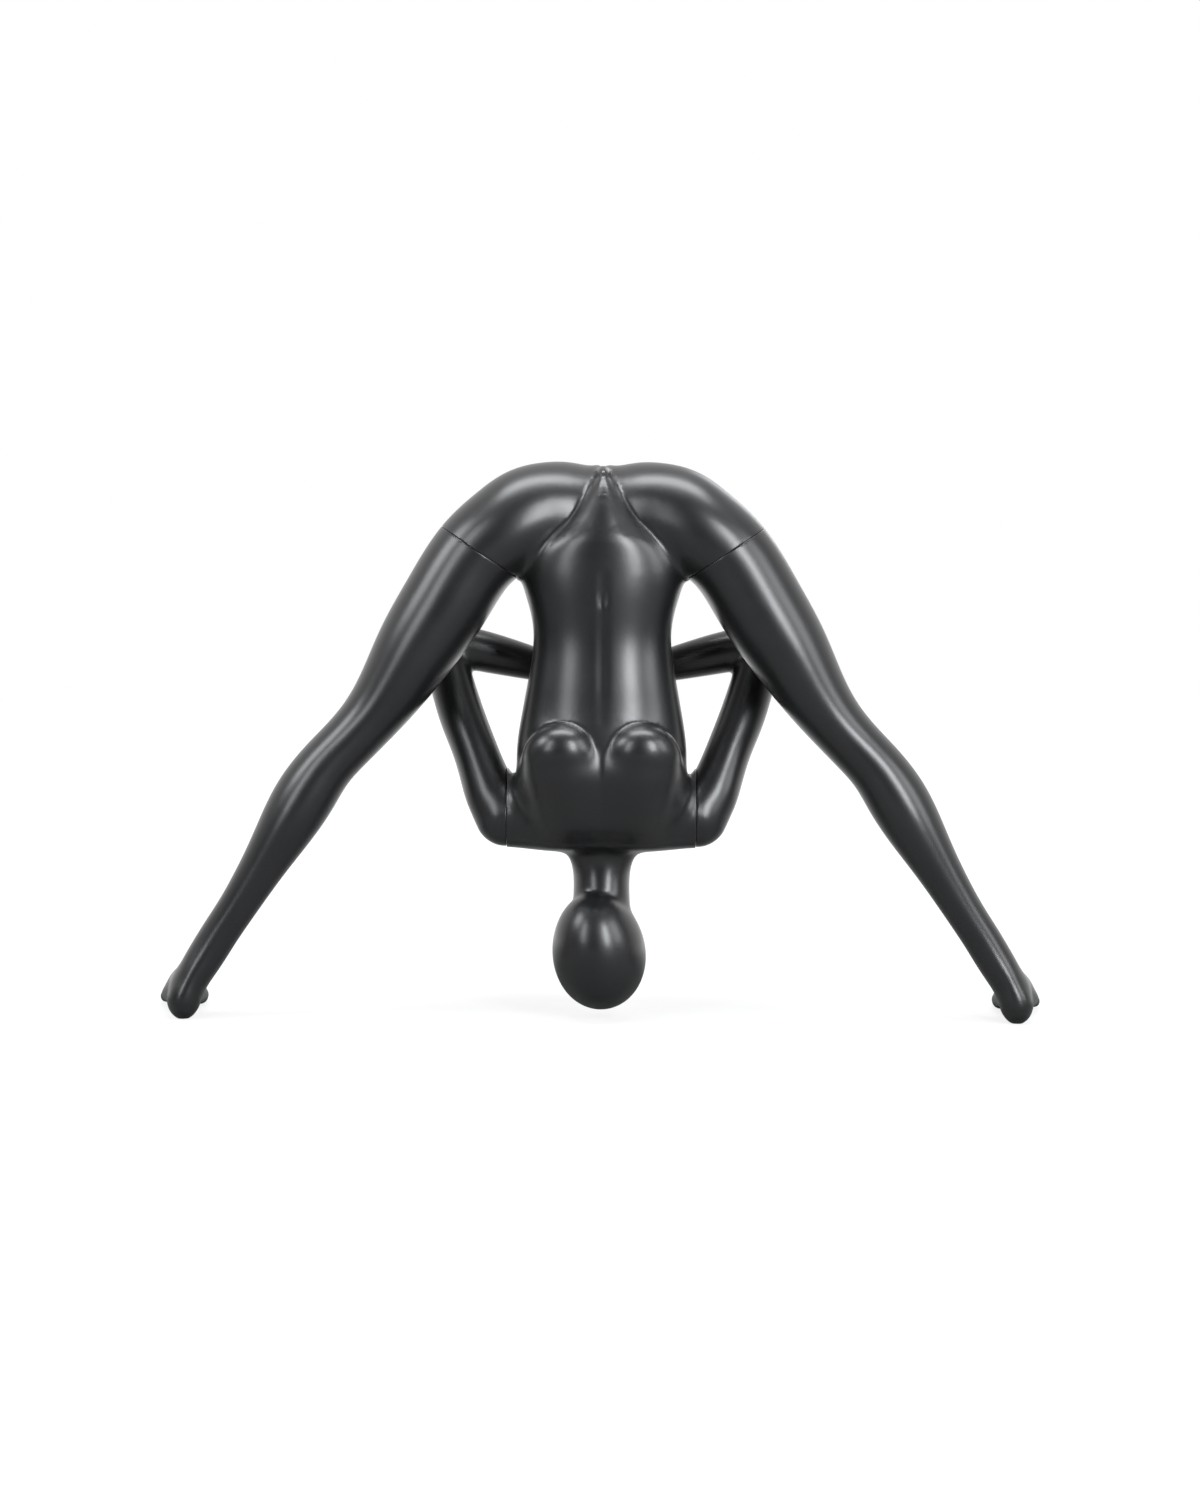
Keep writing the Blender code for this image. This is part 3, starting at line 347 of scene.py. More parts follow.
def spline(knots, values, at):
    """Natural cubic spline through the values at the knots, read at the given places."""
    step = np.diff(knots)
    count = len(knots)
    system = np.eye(count)
    load = np.zeros_like(values)
    for i in range(1, count - 1):
        system[i, i - 1:i + 2] = step[i - 1], 2 * (step[i - 1] + step[i]), step[i]
        load[i] = 6 * ((values[i + 1] - values[i]) / step[i] - (values[i] - values[i - 1]) / step[i - 1])
    bend = np.linalg.solve(system, load)
    i = np.clip(np.searchsorted(knots, at) - 1, 0, count - 2)
    width = step[i][:, None]
    done = (at - knots[i])[:, None]
    left = width - done
    return ((bend[i] * left**3 + bend[i + 1] * done**3) / (6 * width)
            + (values[i] / width - bend[i] * width / 6) * left
            + (values[i + 1] / width - bend[i + 1] * width / 6) * done)


def pillow(local, size, power=2.0):
    """Nearly the distance to a rounded solid of the given half sizes, negative inside."""
    ratio = np.abs(local) / size + 1e-9
    reach = (ratio**power).sum(1) ** (1 / power)
    slope = np.sqrt((((ratio / reach[:, None]) ** (power - 1) / size) ** 2).sum(1))
    return (reach - 1) / slope


def blend(first, second, reach):
    """Union of two fields with a fillet."""
    near = np.maximum(reach - np.abs(first - second), 0) / reach
    return np.minimum(first, second) - reach * near**3 / 6


def carve(field, tool, reach):
    """The first field with the tool taken away and the edge rounded."""
    return -blend(-field, tool, reach)


def widening(value, growth, low, high):
    """Growth that sets in smoothly between two limits of the value."""
    share = np.clip((value - low) / (high - low), 0, 1)
    return growth * (share * share * (3 - 2 * share))


class Limb:
    """Field of a round limb through stations; the depth axis carries each station's deep half size."""

    def __init__(self, stations, depth_axis=(0, 1, 0), power=2.0, step=0.004, cap=None):
        table = np.array(stations, float)
        table[:, 1] += FRAME_SHIFT
        knots = np.append(0, np.cumsum(np.linalg.norm(np.diff(table[:, :3], axis=0), axis=1)))
        dense = spline(knots, table, np.linspace(0, knots[-1], int(knots[-1] / step) + 2))
        self.centre = dense[:, :3]
        self.girth = dense[:, 3:]
        along = np.gradient(self.centre, axis=0)
        along /= np.linalg.norm(along, axis=1)[:, None]
        depth = np.array(depth_axis) - along * (along @ np.array(depth_axis))[:, None]
        depth /= np.linalg.norm(depth, axis=1)[:, None]
        self.axes = np.stack([np.cross(along, depth), depth, along], axis=1)
        self.power = power
        self.cap = cap

    def __call__(self, points):
        parts = np.array_split(points, 1 + len(points) // POINTS_AT_ONCE)
        return np.concatenate([self.part(some) for some in parts])

    def part(self, points):
        near = np.argmin((self.centre**2).sum(1) - 2 * points @ self.centre.T, axis=1)
        ahead = ((points - self.centre[near]) * self.axes[near, 2]).sum(1) > 0
        first = np.clip(np.where(ahead, near, near - 1), 0, len(self.centre) - 2)
        step = self.centre[first + 1] - self.centre[first]
        share = np.clip(((points - self.centre[first]) * step).sum(1) / (step**2).sum(1), 0, 1)[:, None]
        girth = self.girth[first] * (1 - share) + self.girth[first + 1] * share
        axes = self.axes[first] * (1 - share)[:, None] + self.axes[first + 1] * share[:, None]
        local = np.einsum("nij,nj->ni", axes, points - self.centre[first] - share * step)
        end = np.full(len(points), self.cap) if self.cap else girth.min(axis=1)
        return pillow(local, np.column_stack([girth, end]), self.power)


def ball(points, centre, radii, power=2.0):
    middle = np.array(centre) + (0, FRAME_SHIFT, 0)
    return pillow(points - middle, np.array(radii), power)


def head(points):
    """Egg with its narrow end at the chin, leaned forward and turned a little to the figure's left."""
    turn = (Matrix.Rotation(-HEAD_TIP, 3, "Y") @ Matrix.Rotation(-HEAD_TURN, 3, "Z")
            @ Matrix.Rotation(HEAD_LEAN, 3, "X"))
    local = (points - np.array(HEAD_CENTRE) - (0, FRAME_SHIFT, 0)) @ np.array(turn)
    chin = np.clip(local[:, 2:] / HEAD_RADII[2], -1, 1)
    slim = 1 - HEAD_TAPER * chin
    return pillow(local, np.array(HEAD_RADII) * np.concatenate([slim, slim, chin * 0 + 1], axis=1))


def breast(points):
    """Teardrop with a short side at the fold and a long side running out to the collarbone."""
    local = points - np.array(BREAST_CENTRE) - (0, FRAME_SHIFT, 0)
    local[:, 1] += BREAST_LEAN * local[:, 2]
    wide, deep, short = BREAST_RADII
    below = np.clip(-local[:, 2] / BREAST_TAPER, 0, 1)
    narrowed = wide * (1 - BREAST_NARROW * below)
    long = np.where(local[:, 2] > 0, short, BREAST_TAPER)
    return pillow(local, np.column_stack([narrowed, np.full(len(local), deep), long]))


class Figure:
    """Fields of the moulded parts on the +X side; the torso field covers both sides."""

    def __init__(self):
        self.trunk = Limb(TRUNK, power=TRUNK_POWER, cap=TRUNK_CAP)
        self.neck = Limb(NECK)
        self.leg = Limb(LEG)
        self.stub = Limb(LEG[:5])
        self.foot = Limb(FOOT, depth_axis=(0, 0, 1))
        self.shoulder = Limb(SHOULDER)
        self.upper_arm = Limb(UPPER_ARM)
        self.arm_root = Limb(UPPER_ARM[:5])
        self.forearm = Limb(FOREARM)
        self.palm = Limb(PALM)
        self.thumb = Limb(THUMB)
        self.spine = Limb(SPINE)
        self.midline = Limb(MIDLINE)
        self.toes = [self.toe(*toe) for toe in TOES]
        self.fingers = [self.finger(*finger) for finger in FINGERS]

    @staticmethod
    def toe(side, reach, radius):
        """Toe along the foot's line, from under the ball of the foot to its tip."""
        ahead = Vector((math.sin(TOE_OUT), math.cos(TOE_OUT)))
        across = Vector((ahead.y, -ahead.x))
        heel = Vector((FOOT[1].x, FOOT[1].y))
        places = TOE_ROOT, (TOE_ROOT + reach) / 2, reach
        stations = []
        for along, lift, size in zip(places, TOE_LIFTS, TOE_SIZES):
            place = heel + ahead * (along - radius) + across * side
            stations.append(Station(place.x, place.y, lift, radius * size, radius * size))
        return Limb(stations, depth_axis=(0, 0, 1), step=0.002)

    @staticmethod
    def finger(side, length, radius):
        root = Vector(FINGER_ROOT[:3]) + Vector((0, side, 0))
        tip_y = root.y + FINGER_TIP_DRIFT - side * FINGER_CLOSING
        tip = Vector((FINGER_TIP_X, tip_y, root.z - length))
        middle = (root + tip) / 2 + Vector((FINGER_BOW, 0, 0))
        stations = [
            Station(*root, radius * FINGER_ROOT_SIZE, radius * FINGER_ROOT_SIZE),
            Station(*middle, radius, radius),
            Station(*tip, radius * FINGER_TIP_THICK, radius * FINGER_TIP_BROAD),
        ]
        return Limb(stations, step=0.002)

    def torso_field(self, points):
        side = np.column_stack([np.abs(points[:, 0]), points[:, 1:]])
        x, y, z = side.T
        hip = blend(self.stub(side), ball(side, BUTTOCK_CENTRE, BUTTOCK_RADII), BUTTOCK_FILLET)
        hip = blend(hip, ball(side, SADDLE_CENTRE, SADDLE_RADII), SADDLE_FILLET)
        crease = CREASE_FILLET + widening(x, *CREASE_OUTWARD) + widening(y, *CREASE_BACKWARD)
        body = blend(self.trunk(side), hip, crease)
        collar = blend(self.shoulder(side), self.arm_root(side), COLLAR_FILLET)
        body = blend(body, collar, SHOULDER_FILLET)
        body = blend(body, ball(side, BLADE_CENTRE, BLADE_RADII), BLADE_FILLET)
        body = blend(body, breast(side), FOLD_FILLET + widening(-z, *FOLD_TO_COLLAR))
        body = blend(body, self.neck(points), NECK_FILLET)
        body = blend(body, head(points), HEAD_FILLET)
        body = carve(body, self.spine(points), SPINE_FILLET)
        body = carve(body, self.midline(points), MIDLINE_FILLET)
        body = carve(body, ball(points, CLEFT_CENTRE, CLEFT_RADII), CLEFT_FILLET)
        return carve(body, ball(points, NAVEL_CENTRE, NAVEL_RADII), NAVEL_FILLET)

    def leg_field(self, points):
        foot = self.foot(points)
        for toe in self.toes:
            foot = blend(foot, toe(points), TOE_FILLET)
        leg = blend(self.leg(points), ball(points, KNEECAP_CENTRE, KNEECAP_RADII), KNEE_FILLET)
        return blend(leg, foot, ANKLE_FILLET)

    def arm_field(self, points):
        collar = blend(self.shoulder(points), self.upper_arm(points), COLLAR_FILLET)
        return blend(collar, self.forearm(points), ELBOW_FILLET)

    def hand_field(self, points):
        hand = blend(self.palm(points), self.thumb(points), THUMB_FILLET)
        for finger in self.fingers:
            hand = blend(hand, finger(points), FINGER_FILLET)
        return hand


def gradient(field, points):
    steps = np.eye(3) * GRADIENT_STEP
    rises = [field(points + step) - field(points - step) for step in steps]
    return np.stack(rises, axis=1) / (2 * GRADIENT_STEP)


def settle(field, points):
    """Points moved along the field's gradient towards its zero surface."""
    slope = gradient(field, points)
    length = np.maximum((slope**2).sum(1), LEAST_SLOPE)
    move = np.clip(field(points) / length, -LONGEST_MOVE, LONGEST_MOVE)
    return points - move[:, None] * slope


def fill_diagonals(inside):
    """Grid with no face whose inside corners touch only across its diagonal.

    No edge of the skin then joins four faces.
    """
    found = True
    while found:
        found = False
        for pair in ((0, 1), (0, 2), (1, 2)):
            view = np.moveaxis(inside, pair, (0, 1))
            corners = view[:-1, :-1], view[1:, :-1], view[:-1, 1:], view[1:, 1:]
            same = (corners[0] == corners[3]) & (corners[1] == corners[2])
            checker = same & (corners[0] != corners[1])
            found = found or checker.any()
            for corner in corners:
                corner |= checker
    return inside


def relax(points, faces):
    """Each point halfway to the mean of its neighbours along the edges."""
    total = np.zeros_like(points)
    count = np.zeros(len(points))
    for i in range(4):
        for j in ((i + 1) % 4, (i + 3) % 4):
            np.add.at(total, faces[:, i], points[faces[:, j]])
            np.add.at(count, faces[:, i], 1)
    return (points + total / count[:, None]) / 2


def refine(points, faces):
    """Each four-sided face split into four."""
    sides = np.sort(np.stack([faces, np.roll(faces, -1, axis=1)], axis=2).reshape(-1, 2), axis=1)
    edges, where = np.unique(sides, axis=0, return_inverse=True)
    after = len(points) + where.reshape(-1, 4)
    before = np.roll(after, 1, axis=1)
    middle = np.repeat(len(points) + len(edges) + np.arange(len(faces)), 4).reshape(-1, 4)
    quads = np.stack([faces, after, middle, before], axis=2).reshape(-1, 4)
    return np.concatenate([points, points[edges].mean(1), points[faces].mean(1)]), quads


def skin(field, low, high, cell):
    """Points and four-sided faces of the zero surface inside a box, refined once."""
    axes = [np.arange(a, b + cell, cell) for a, b in zip(low, high)]
    grid = np.stack(np.meshgrid(*axes, indexing="ij"), axis=-1)
    inside = fill_diagonals(field(grid.reshape(-1, 3)).reshape(grid.shape[:3]) < 0)
    corners = sum(inside[i:i - 1 or None, j:j - 1 or None, k:k - 1 or None].astype(int)
                  for i in (0, 1) for j in (0, 1) for k in (0, 1))
    mixed = (corners > 0) & (corners < 8)
    number = np.full(mixed.shape, -1)
    number[mixed] = np.arange(mixed.sum())
    points = np.argwhere(mixed) * cell + np.array(low) + cell / 2
    faces = []
    for axis in range(3):
        edges = np.argwhere(np.diff(inside, axis=axis))
        one, two = np.eye(3, dtype=int)[[(axis + 1) % 3, (axis + 2) % 3]]
        corner_shifts = (0 * one, one, one + two, two)
        quads = np.stack([number[tuple((edges - shift).T)] for shift in corner_shifts], axis=1)
        leaving = inside[tuple(edges.T)]
        quads[~leaving] = quads[~leaving, ::-1]
        faces.append(quads)
    faces = np.concatenate(faces)
    for _ in range(RELAX_ROUNDS):
        points = settle(field, relax(points, faces))
    points, faces = refine(points, faces)
    for _ in range(RELAX_ROUNDS):
        points = settle(field, relax(points, faces))
    return settle(field, points), faces


def seat(origin, normal):
    """Frame with its z axis along a joint and its y axis along the world's."""
    ahead = Vector(normal)
    depth = Vector((0, 1, 0))
    turn = Matrix((depth.cross(ahead), depth, ahead)).transposed()
    return Matrix.Translation(origin) @ turn.to_4x4()


def mirrored(vector, mirror):
    return Vector((-vector[0], vector[1], vector[2])) if mirror else Vector(vector)


def skin_bmesh(skin_data, mirror):
    points, faces = skin_data
    mesh = bpy.data.meshes.new("skin")
    sign = np.array((-1, 1, 1) if mirror else (1, 1, 1))
    order = faces[:, ::-1] if mirror else faces
    mesh.from_pydata((points * sign).tolist(), [], order.tolist())
    bm = bmesh.new()
    bm.from_mesh(mesh)
    bpy.data.meshes.remove(mesh)
    return bm


def cut_at_seam(bm, frame, keep, bore, low_x=-0.12, high_x=0.12, far=0.25):
    """Cuts the skin across a seam, drops the far side and closes it with a flat rim round a bore.

    Only what lies in a box round the seam is cut: low_x to high_x along the frame, far beyond the seam.
    The bore is its steps of radius and depth. The rim's edge is eased by a small lip.
    """
    back = frame.inverted()
    face_height = SEAM_GAP / 2

    def near(vert):
        place = back @ vert.co
        beside = low_x < place.x < high_x and abs(place.y) < SEAM_BOX_DEPTH
        return beside and -SEAM_MARGIN < -keep * place.z < far

    normal = frame.to_3x3() @ Vector((0, 0, keep))
    for height in (face_height + SEAM_LIP, face_height):
        faces = [face for face in bm.faces if all(near(vert) for vert in face.verts)]
        edges = {edge for face in faces for edge in face.edges}
        verts = {vert for face in faces for vert in face.verts}
        place = frame.translation + normal * height
        for vert in verts:
            off = (vert.co - place).dot(normal)
            vert.co -= normal * (off if abs(off) < SEAM_SNAP else 0)
        bmesh.ops.bisect_plane(bm, geom=[*verts, *edges, *faces], dist=CUT_TOLERANCE,
                               plane_co=place, plane_no=normal)
    end = face_height - CUT_TOLERANCE
    beyond = [vert for vert in bm.verts if near(vert) and keep * (back @ vert.co).z < end]
    bmesh.ops.delete(bm, geom=beyond, context="VERTS")
    rim = [edge for edge in bm.edges if edge.is_boundary]
    bm.normal_update()
    for vert in {vert for edge in rim for vert in edge.verts}:
        inward = -vert.normal + normal * vert.normal.dot(normal)
        vert.co += inward.normalized() * SEAM_LIP_INSET

    steps = [(bore[0][0], face_height), *bore]
    turns = [math.tau * i / BORE_SIDES for i in range(BORE_SIDES)]
    loops = []
    for radius, height in steps:
        ring = [(radius * math.cos(turn), radius * math.sin(turn), keep * height) for turn in turns]
        loops.append([bm.verts.new(frame @ Vector(place)) for place in ring])
    for low, high in zip(loops, loops[1:]):
        for i in range(BORE_SIDES):
            bm.faces.new((low[i - 1], low[i], high[i], high[i - 1]))
    bm.faces.new(loops[-1])
    mouth = [edge for vert in loops[0] for edge in vert.link_edges if edge.is_boundary]
    outline = list(dict.fromkeys([*rim, *mouth]))
    bmesh.ops.triangle_fill(bm, use_beauty=True, edges=outline, normal=-normal)


def flatten_sole(bm):
    """Cuts the foot flat on the floor."""
    everything = bm.verts[:] + bm.edges[:] + bm.faces[:]
    bmesh.ops.bisect_plane(bm, geom=everything, dist=SOLE_TOLERANCE, plane_co=(0, 0, 0),
                           plane_no=(0, 0, -1), clear_outer=True)
    bmesh.ops.holes_fill(bm, edges=[edge for edge in bm.edges if edge.is_boundary])


def moulding(name, bm, look, body, stands_for):
    """Finished piece of a cut skin, riding on its body in place of its plain solid."""
    bmesh.ops.recalc_face_normals(bm, faces=bm.faces)
    mesh = bpy.data.meshes.new(name)
    bm.to_mesh(mesh)
    bm.free()
    mesh.polygons.foreach_set("use_smooth", [True] * len(mesh.polygons))
    mesh.set_sharp_from_angle(angle=SHARP_ANGLE)
    mesh.materials.append(look)
    made = bpy.data.objects.new(name, mesh)
    bpy.context.scene.collection.objects.link(made)
    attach(made, body)
    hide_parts(stands_for)


def group(name, inputs, outputs):
    """New shader node group with named sockets: (name, socket type, default)."""
    tree = bpy.data.node_groups.new(name, "ShaderNodeTree")
    for title, kind, value in inputs:
        socket = tree.interface.new_socket(title, in_out="INPUT", socket_type=kind)
        socket.default_value = value
    for title, kind in outputs:
        tree.interface.new_socket(title, in_out="OUTPUT", socket_type=kind)
    start = tree.nodes.new("NodeGroupInput")
    end = tree.nodes.new("NodeGroupOutput")
    return tree, start, end


def node(tree, kind, links=(), **settings):
    """New node with its settings, and links as (input, socket or value)."""
    made = tree.nodes.new(kind)
    for key, value in settings.items():
        setattr(made, key, value)
    for title, source in links:
        if isinstance(source, bpy.types.NodeSocket):
            tree.links.new(source, made.inputs[title])
        else:
            made.inputs[title].default_value = source
    return made


def arithmetic(tree, operation, *values):
    """Output of a maths node on sockets or plain values."""
    return node(tree, "ShaderNodeMath", enumerate(values), operation=operation).outputs[0]


def mapped(tree, value, limits, **settings):
    """Output of a map range node; limits are pairs of an input's name and a socket or value."""
    made = node(tree, "ShaderNodeMapRange", [("Value", value), *limits], **settings)
    return made.outputs["Result"]


def colour_mix(tree, factor, first, second):
    links = [("Factor", factor), ("A", first), ("B", second)]
    return node(tree, "ShaderNodeMix", links, data_type="RGBA").outputs["Result"]


def bump(tree, height, strength, distance, **settings):
    links = [("Height", height), ("Strength", strength), ("Distance", distance)]
    return node(tree, "ShaderNodeBump", links, **settings)


def use_group(tree, source, **values):
    """Mask of a group used in a tree with the given values."""
    made = node(tree, "ShaderNodeGroup", node_tree=source)
    for title, value in values.items():
        made.inputs[title].default_value = value
    return made.outputs["Mask"]


def new_material(name):
    made = bpy.data.materials.new(name)
    made.use_nodes = True
    return made, made.node_tree, made.node_tree.nodes["Principled BSDF"]


def cloud_group():
    """Soft clouds from noise: a mask that drifts between 0 and 1 over a given size."""
    inputs = [("Size", "NodeSocketFloat", 0.05), ("Contrast", "NodeSocketFloat", 0.5)]
    tree, start, end = group("clouds", inputs, [("Mask", "NodeSocketFloat")])
    place = node(tree, "ShaderNodeTexCoord")
    scale = arithmetic(tree, "DIVIDE", 1.0, start.outputs["Size"])
    noise = node(tree, "ShaderNodeTexNoise", [("Vector", place.outputs["Object"]), ("Scale", scale),
                                              ("Detail", 4.0), ("Roughness", 0.55)])
    half = arithmetic(tree, "MULTIPLY", start.outputs["Contrast"], 0.5)
    low = arithmetic(tree, "SUBTRACT", 0.5, half)
    high = arithmetic(tree, "ADD", 0.5, half)
    mask = mapped(tree, noise.outputs["Fac"], [("From Min", low), ("From Max", high)],
                  interpolation_type="SMOOTHSTEP")
    tree.links.new(mask, end.inputs["Mask"])
    return tree


def scratch_group():
    """Thin hairline scratches: long stretched cells along one object axis, thinned by a mask."""
    inputs = [("Size", "NodeSocketFloat", 0.002), ("Stretch", "NodeSocketVector", (1, 1, 1)),
              ("Share", "NodeSocketFloat", 0.5)]
    tree, start, end = group("hairlines", inputs, [("Mask", "NodeSocketFloat")])
    place = node(tree, "ShaderNodeTexCoord")
    stretched = node(tree, "ShaderNodeVectorMath",
                     [(0, place.outputs["Object"]), (1, start.outputs["Stretch"])],
                     operation="MULTIPLY")
    scale = arithmetic(tree, "DIVIDE", 1.0, start.outputs["Size"])
    noise = node(tree, "ShaderNodeTexNoise", [("Vector", stretched.outputs[0]), ("Scale", scale),
                                              ("Detail", 2.0)])
    limits = [("From Min", start.outputs["Share"]), ("From Max", 0.85)]
    tree.links.new(mapped(tree, noise.outputs["Fac"], limits), end.inputs["Mask"])
    return tree


def dust_group(clouds):
    """Dust that settles on what faces up, broken by clouds."""
    inputs = [("Amount", "NodeSocketFloat", 0.1)]
    tree, start, end = group("settled_dust", inputs, [("Mask", "NodeSocketFloat")])
    facing = node(tree, "ShaderNodeNewGeometry")
    up = node(tree, "ShaderNodeSeparateXYZ", [("Vector", facing.outputs["Normal"])])
    lying = mapped(tree, up.outputs["Z"], [("From Min", 0.35), ("From Max", 1.0)])
    broken = arithmetic(tree, "MULTIPLY", lying, use_group(tree, clouds, Size=0.03, Contrast=0.7))
    mask = arithmetic(tree, "MULTIPLY", broken, start.outputs["Amount"])
    tree.links.new(mask, end.inputs["Mask"])
    return tree


class Finishes:
    """Materials of the figure, built on shared groups."""

    def __init__(self):
        self.clouds = cloud_group()
        self.hairlines = scratch_group()
        self.dust = dust_group(self.clouds)
        self.lacquer = self.make_lacquer()
        self.plywood = self.make_plywood()
        self.steel = self.make_steel()

    def make_lacquer(self):
        """Satin black lacquer on fibreglass: fine orange peel, slow waves, faint scuffs and dust."""
        made, tree, shader = new_material("satin_black_lacquer")
        drift = use_group(tree, self.clouds, Size=0.09, Contrast=0.6)
        colour = colour_mix(tree, drift, (0.0046, 0.0048, 0.0054, 1), (0.0075, 0.0078, 0.0086, 1))
        scuff = use_group(tree, self.hairlines, Size=0.0016, Stretch=(1.0, 1.0, 0.12), Share=0.62)
        dust = use_group(tree, self.dust, Amount=0.10)
        dusty = colour_mix(tree, dust, colour, (0.09, 0.09, 0.093, 1))
        tree.links.new(dusty, shader.inputs["Base Color"])
        rough = mapped(tree, drift, [("To Min", 0.34), ("To Max", 0.40)])
        scuffed = arithmetic(tree, "MULTIPLY_ADD", scuff, 0.06, rough)
        dulled = arithmetic(tree, "MULTIPLY_ADD", dust, 0.5, scuffed)
        tree.links.new(dulled, shader.inputs["Roughness"])
        peel = use_group(tree, self.clouds, Size=0.0035, Contrast=1.0)
        wave = use_group(tree, self.clouds, Size=0.055, Contrast=1.2)
        fine = bump(tree, peel, 0.10, 0.0002)
        slow = bump(tree, wave, 0.30, 0.0010)
        tree.links.new(fine.outputs["Normal"], slow.inputs["Normal"])
        tree.links.new(slow.outputs["Normal"], shader.inputs["Normal"])
        shader.inputs["Coat Weight"].default_value = 0.70
        shader.inputs["Coat Roughness"].default_value = 0.28
        return made

    def make_plywood(self):
        """Birch plywood: straight face grain, darker pores and a dry surface."""
        made, tree, shader = new_material("birch_plywood")
        grain = use_group(tree, self.hairlines, Size=0.0022, Stretch=(1.0, 0.06, 1.0), Share=0.35)
        patch = use_group(tree, self.clouds, Size=0.022, Contrast=0.8)
        face = colour_mix(tree, patch, (0.50, 0.33, 0.18, 1), (0.60, 0.43, 0.26, 1))
        lined = colour_mix(tree, grain, face, (0.33, 0.19, 0.09, 1))
        tree.links.new(lined, shader.inputs["Base Color"])
        rough = mapped(tree, grain, [("To Min", 0.62), ("To Max", 0.80)])
        tree.links.new(rough, shader.inputs["Roughness"])
        relief = bump(tree, grain, 0.35, 0.0004, invert=True)
        tree.links.new(relief.outputs["Normal"], shader.inputs["Normal"])
        return made

    def make_steel(self):
        """Zinc plated steel: cool cloudy plating with turning marks and rubbed spots."""
        made, tree, shader = new_material("zinc_plated_steel")
        cloud = use_group(tree, self.clouds, Size=0.012, Contrast=0.7)
        colour = colour_mix(tree, cloud, (0.52, 0.53, 0.55, 1), (0.66, 0.67, 0.68, 1))
        tree.links.new(colour, shader.inputs["Base Color"])
        marks = use_group(tree, self.hairlines, Size=0.0012, Stretch=(0.15, 1.0, 1.0), Share=0.45)
        rough = mapped(tree, cloud, [("To Min", 0.26), ("To Max", 0.40)])
        rubbed = arithmetic(tree, "MULTIPLY_ADD", marks, 0.12, rough)
        tree.links.new(rubbed, shader.inputs["Roughness"])
        relief = bump(tree, marks, 0.12, 0.0002)
        tree.links.new(relief.outputs["Normal"], shader.inputs["Normal"])
        shader.inputs["Metallic"].default_value = 1.0
        return made


def moulded_parts(look):
    """Torso, legs, arms and hands in place of their plain solids."""
    figure = Figure()
    torso_skin = skin(figure.torso_field, *TORSO_BOX, TORSO_CELL)
    leg_skin = skin(figure.leg_field, *LEG_BOX, LEG_CELL)
    arm_skin = skin(figure.arm_field, *ARM_BOX, ARM_CELL)
    hand_skin = skin(figure.hand_field, *HAND_BOX, HAND_CELL)
    thigh_bore = [(THIGH_BORE_RADIUS, THIGH_BORE_DEPTH)]
    socket_bore = [(SOCKET_CLEAR_RADIUS, THIGH_BORE_DEPTH),
                   (SOCKET_CLEAR_RADIUS, SOCKET_CLEAR_DEPTH)]
    shoulder_bore = [(SHOULDER_BORE_RADIUS, SHOULDER_BORE_DEPTH)]
    wrist_bore = [(WRIST_BORE_RADIUS, WRIST_BORE_DEPTH)]
    stud_bore = [(HAND_STUD_RADIUS, HAND_STUD_DEPTH)]
    torso = skin_bmesh(torso_skin, False)
    for side, mirror in (("left", True), ("right", False)):
        down = mirrored((math.sin(THIGH_TILT), 0, -math.cos(THIGH_TILT)), mirror)
        thigh = seat(mirrored((THIGH_SEAM_X, FRAME_SHIFT, THIGH_SEAM_Z), mirror), down)
        shoulder = seat(mirrored((SHOULDER_SEAM_X, SHOULDER_Y + FRAME_SHIFT, SHOULDER_Z), mirror),
                        mirrored((1, 0, 0), mirror))
        wrist = seat(mirrored((WRIST_SEAM_X, WRIST_Y + FRAME_SHIFT, WRIST_Z), mirror),
                     mirrored((-1, 0, 0), mirror))
        inner = -THIGH_REACH if mirror else THIGH_REACH
        low_x, high_x = sorted((inner, -3 * inner))
        cut_at_seam(torso, thigh, -1, thigh_bore, low_x, high_x)
        cut_at_seam(torso, shoulder, -1, shoulder_bore, low_x=-0.2, high_x=0.2)

        leg = skin_bmesh(leg_skin, mirror)
        cut_at_seam(leg, thigh, 1, thigh_bore + socket_bore, low_x=-0.3, high_x=0.3, far=0.4)
        flatten_sole(leg)
        moulding(f"{side}_leg_moulding", leg, look, f"{side}_leg", f"{side}_leg_shell")

        arm = skin_bmesh(arm_skin, mirror)
        cut_at_seam(arm, shoulder, 1, shoulder_bore)
        cut_at_seam(arm, wrist, -1, wrist_bore, low_x=-0.05, high_x=0.05, far=0.10)
        moulding(f"{side}_arm_moulding", arm, look, f"{side}_arm", f"{side}_arm_shell")

        hand = skin_bmesh(hand_skin, mirror)
        cut_at_seam(hand, wrist, 1, stud_bore, low_x=-0.05, high_x=0.05, far=0.10)
        moulding(f"{side}_hand_moulding", hand, look, f"{side}_hand", f"{side}_hand")
    moulding("torso_moulding", torso, look, "torso", "torso_shell")


def dress_fittings(nodes, finishes):
    """Rounds the edges of the fittings that stay and gives each its finish."""
    for name, fitting in nodes.items():
        if fitting.hide_render:
            continue
        wooden = name.endswith(("_board", "_plug", "_dowel"))
        fitting.data.materials.clear()
        fitting.data.materials.append(finishes.plywood if wooden else finishes.steel)
        fitting.data.polygons.foreach_set("use_smooth", [True] * len(fitting.data.polygons))
        weld = fitting.modifiers.new("Weld", "WELD")
        weld.merge_threshold = WELD_REACH
        bevel = fitting.modifiers.new("Edge", "BEVEL")
        bevel.width = EDGE_ROUND
        bevel.segments = 2
        bevel.limit_method = "ANGLE"
        bevel.angle_limit = EDGE_ANGLE
        bevel.harden_normals = True


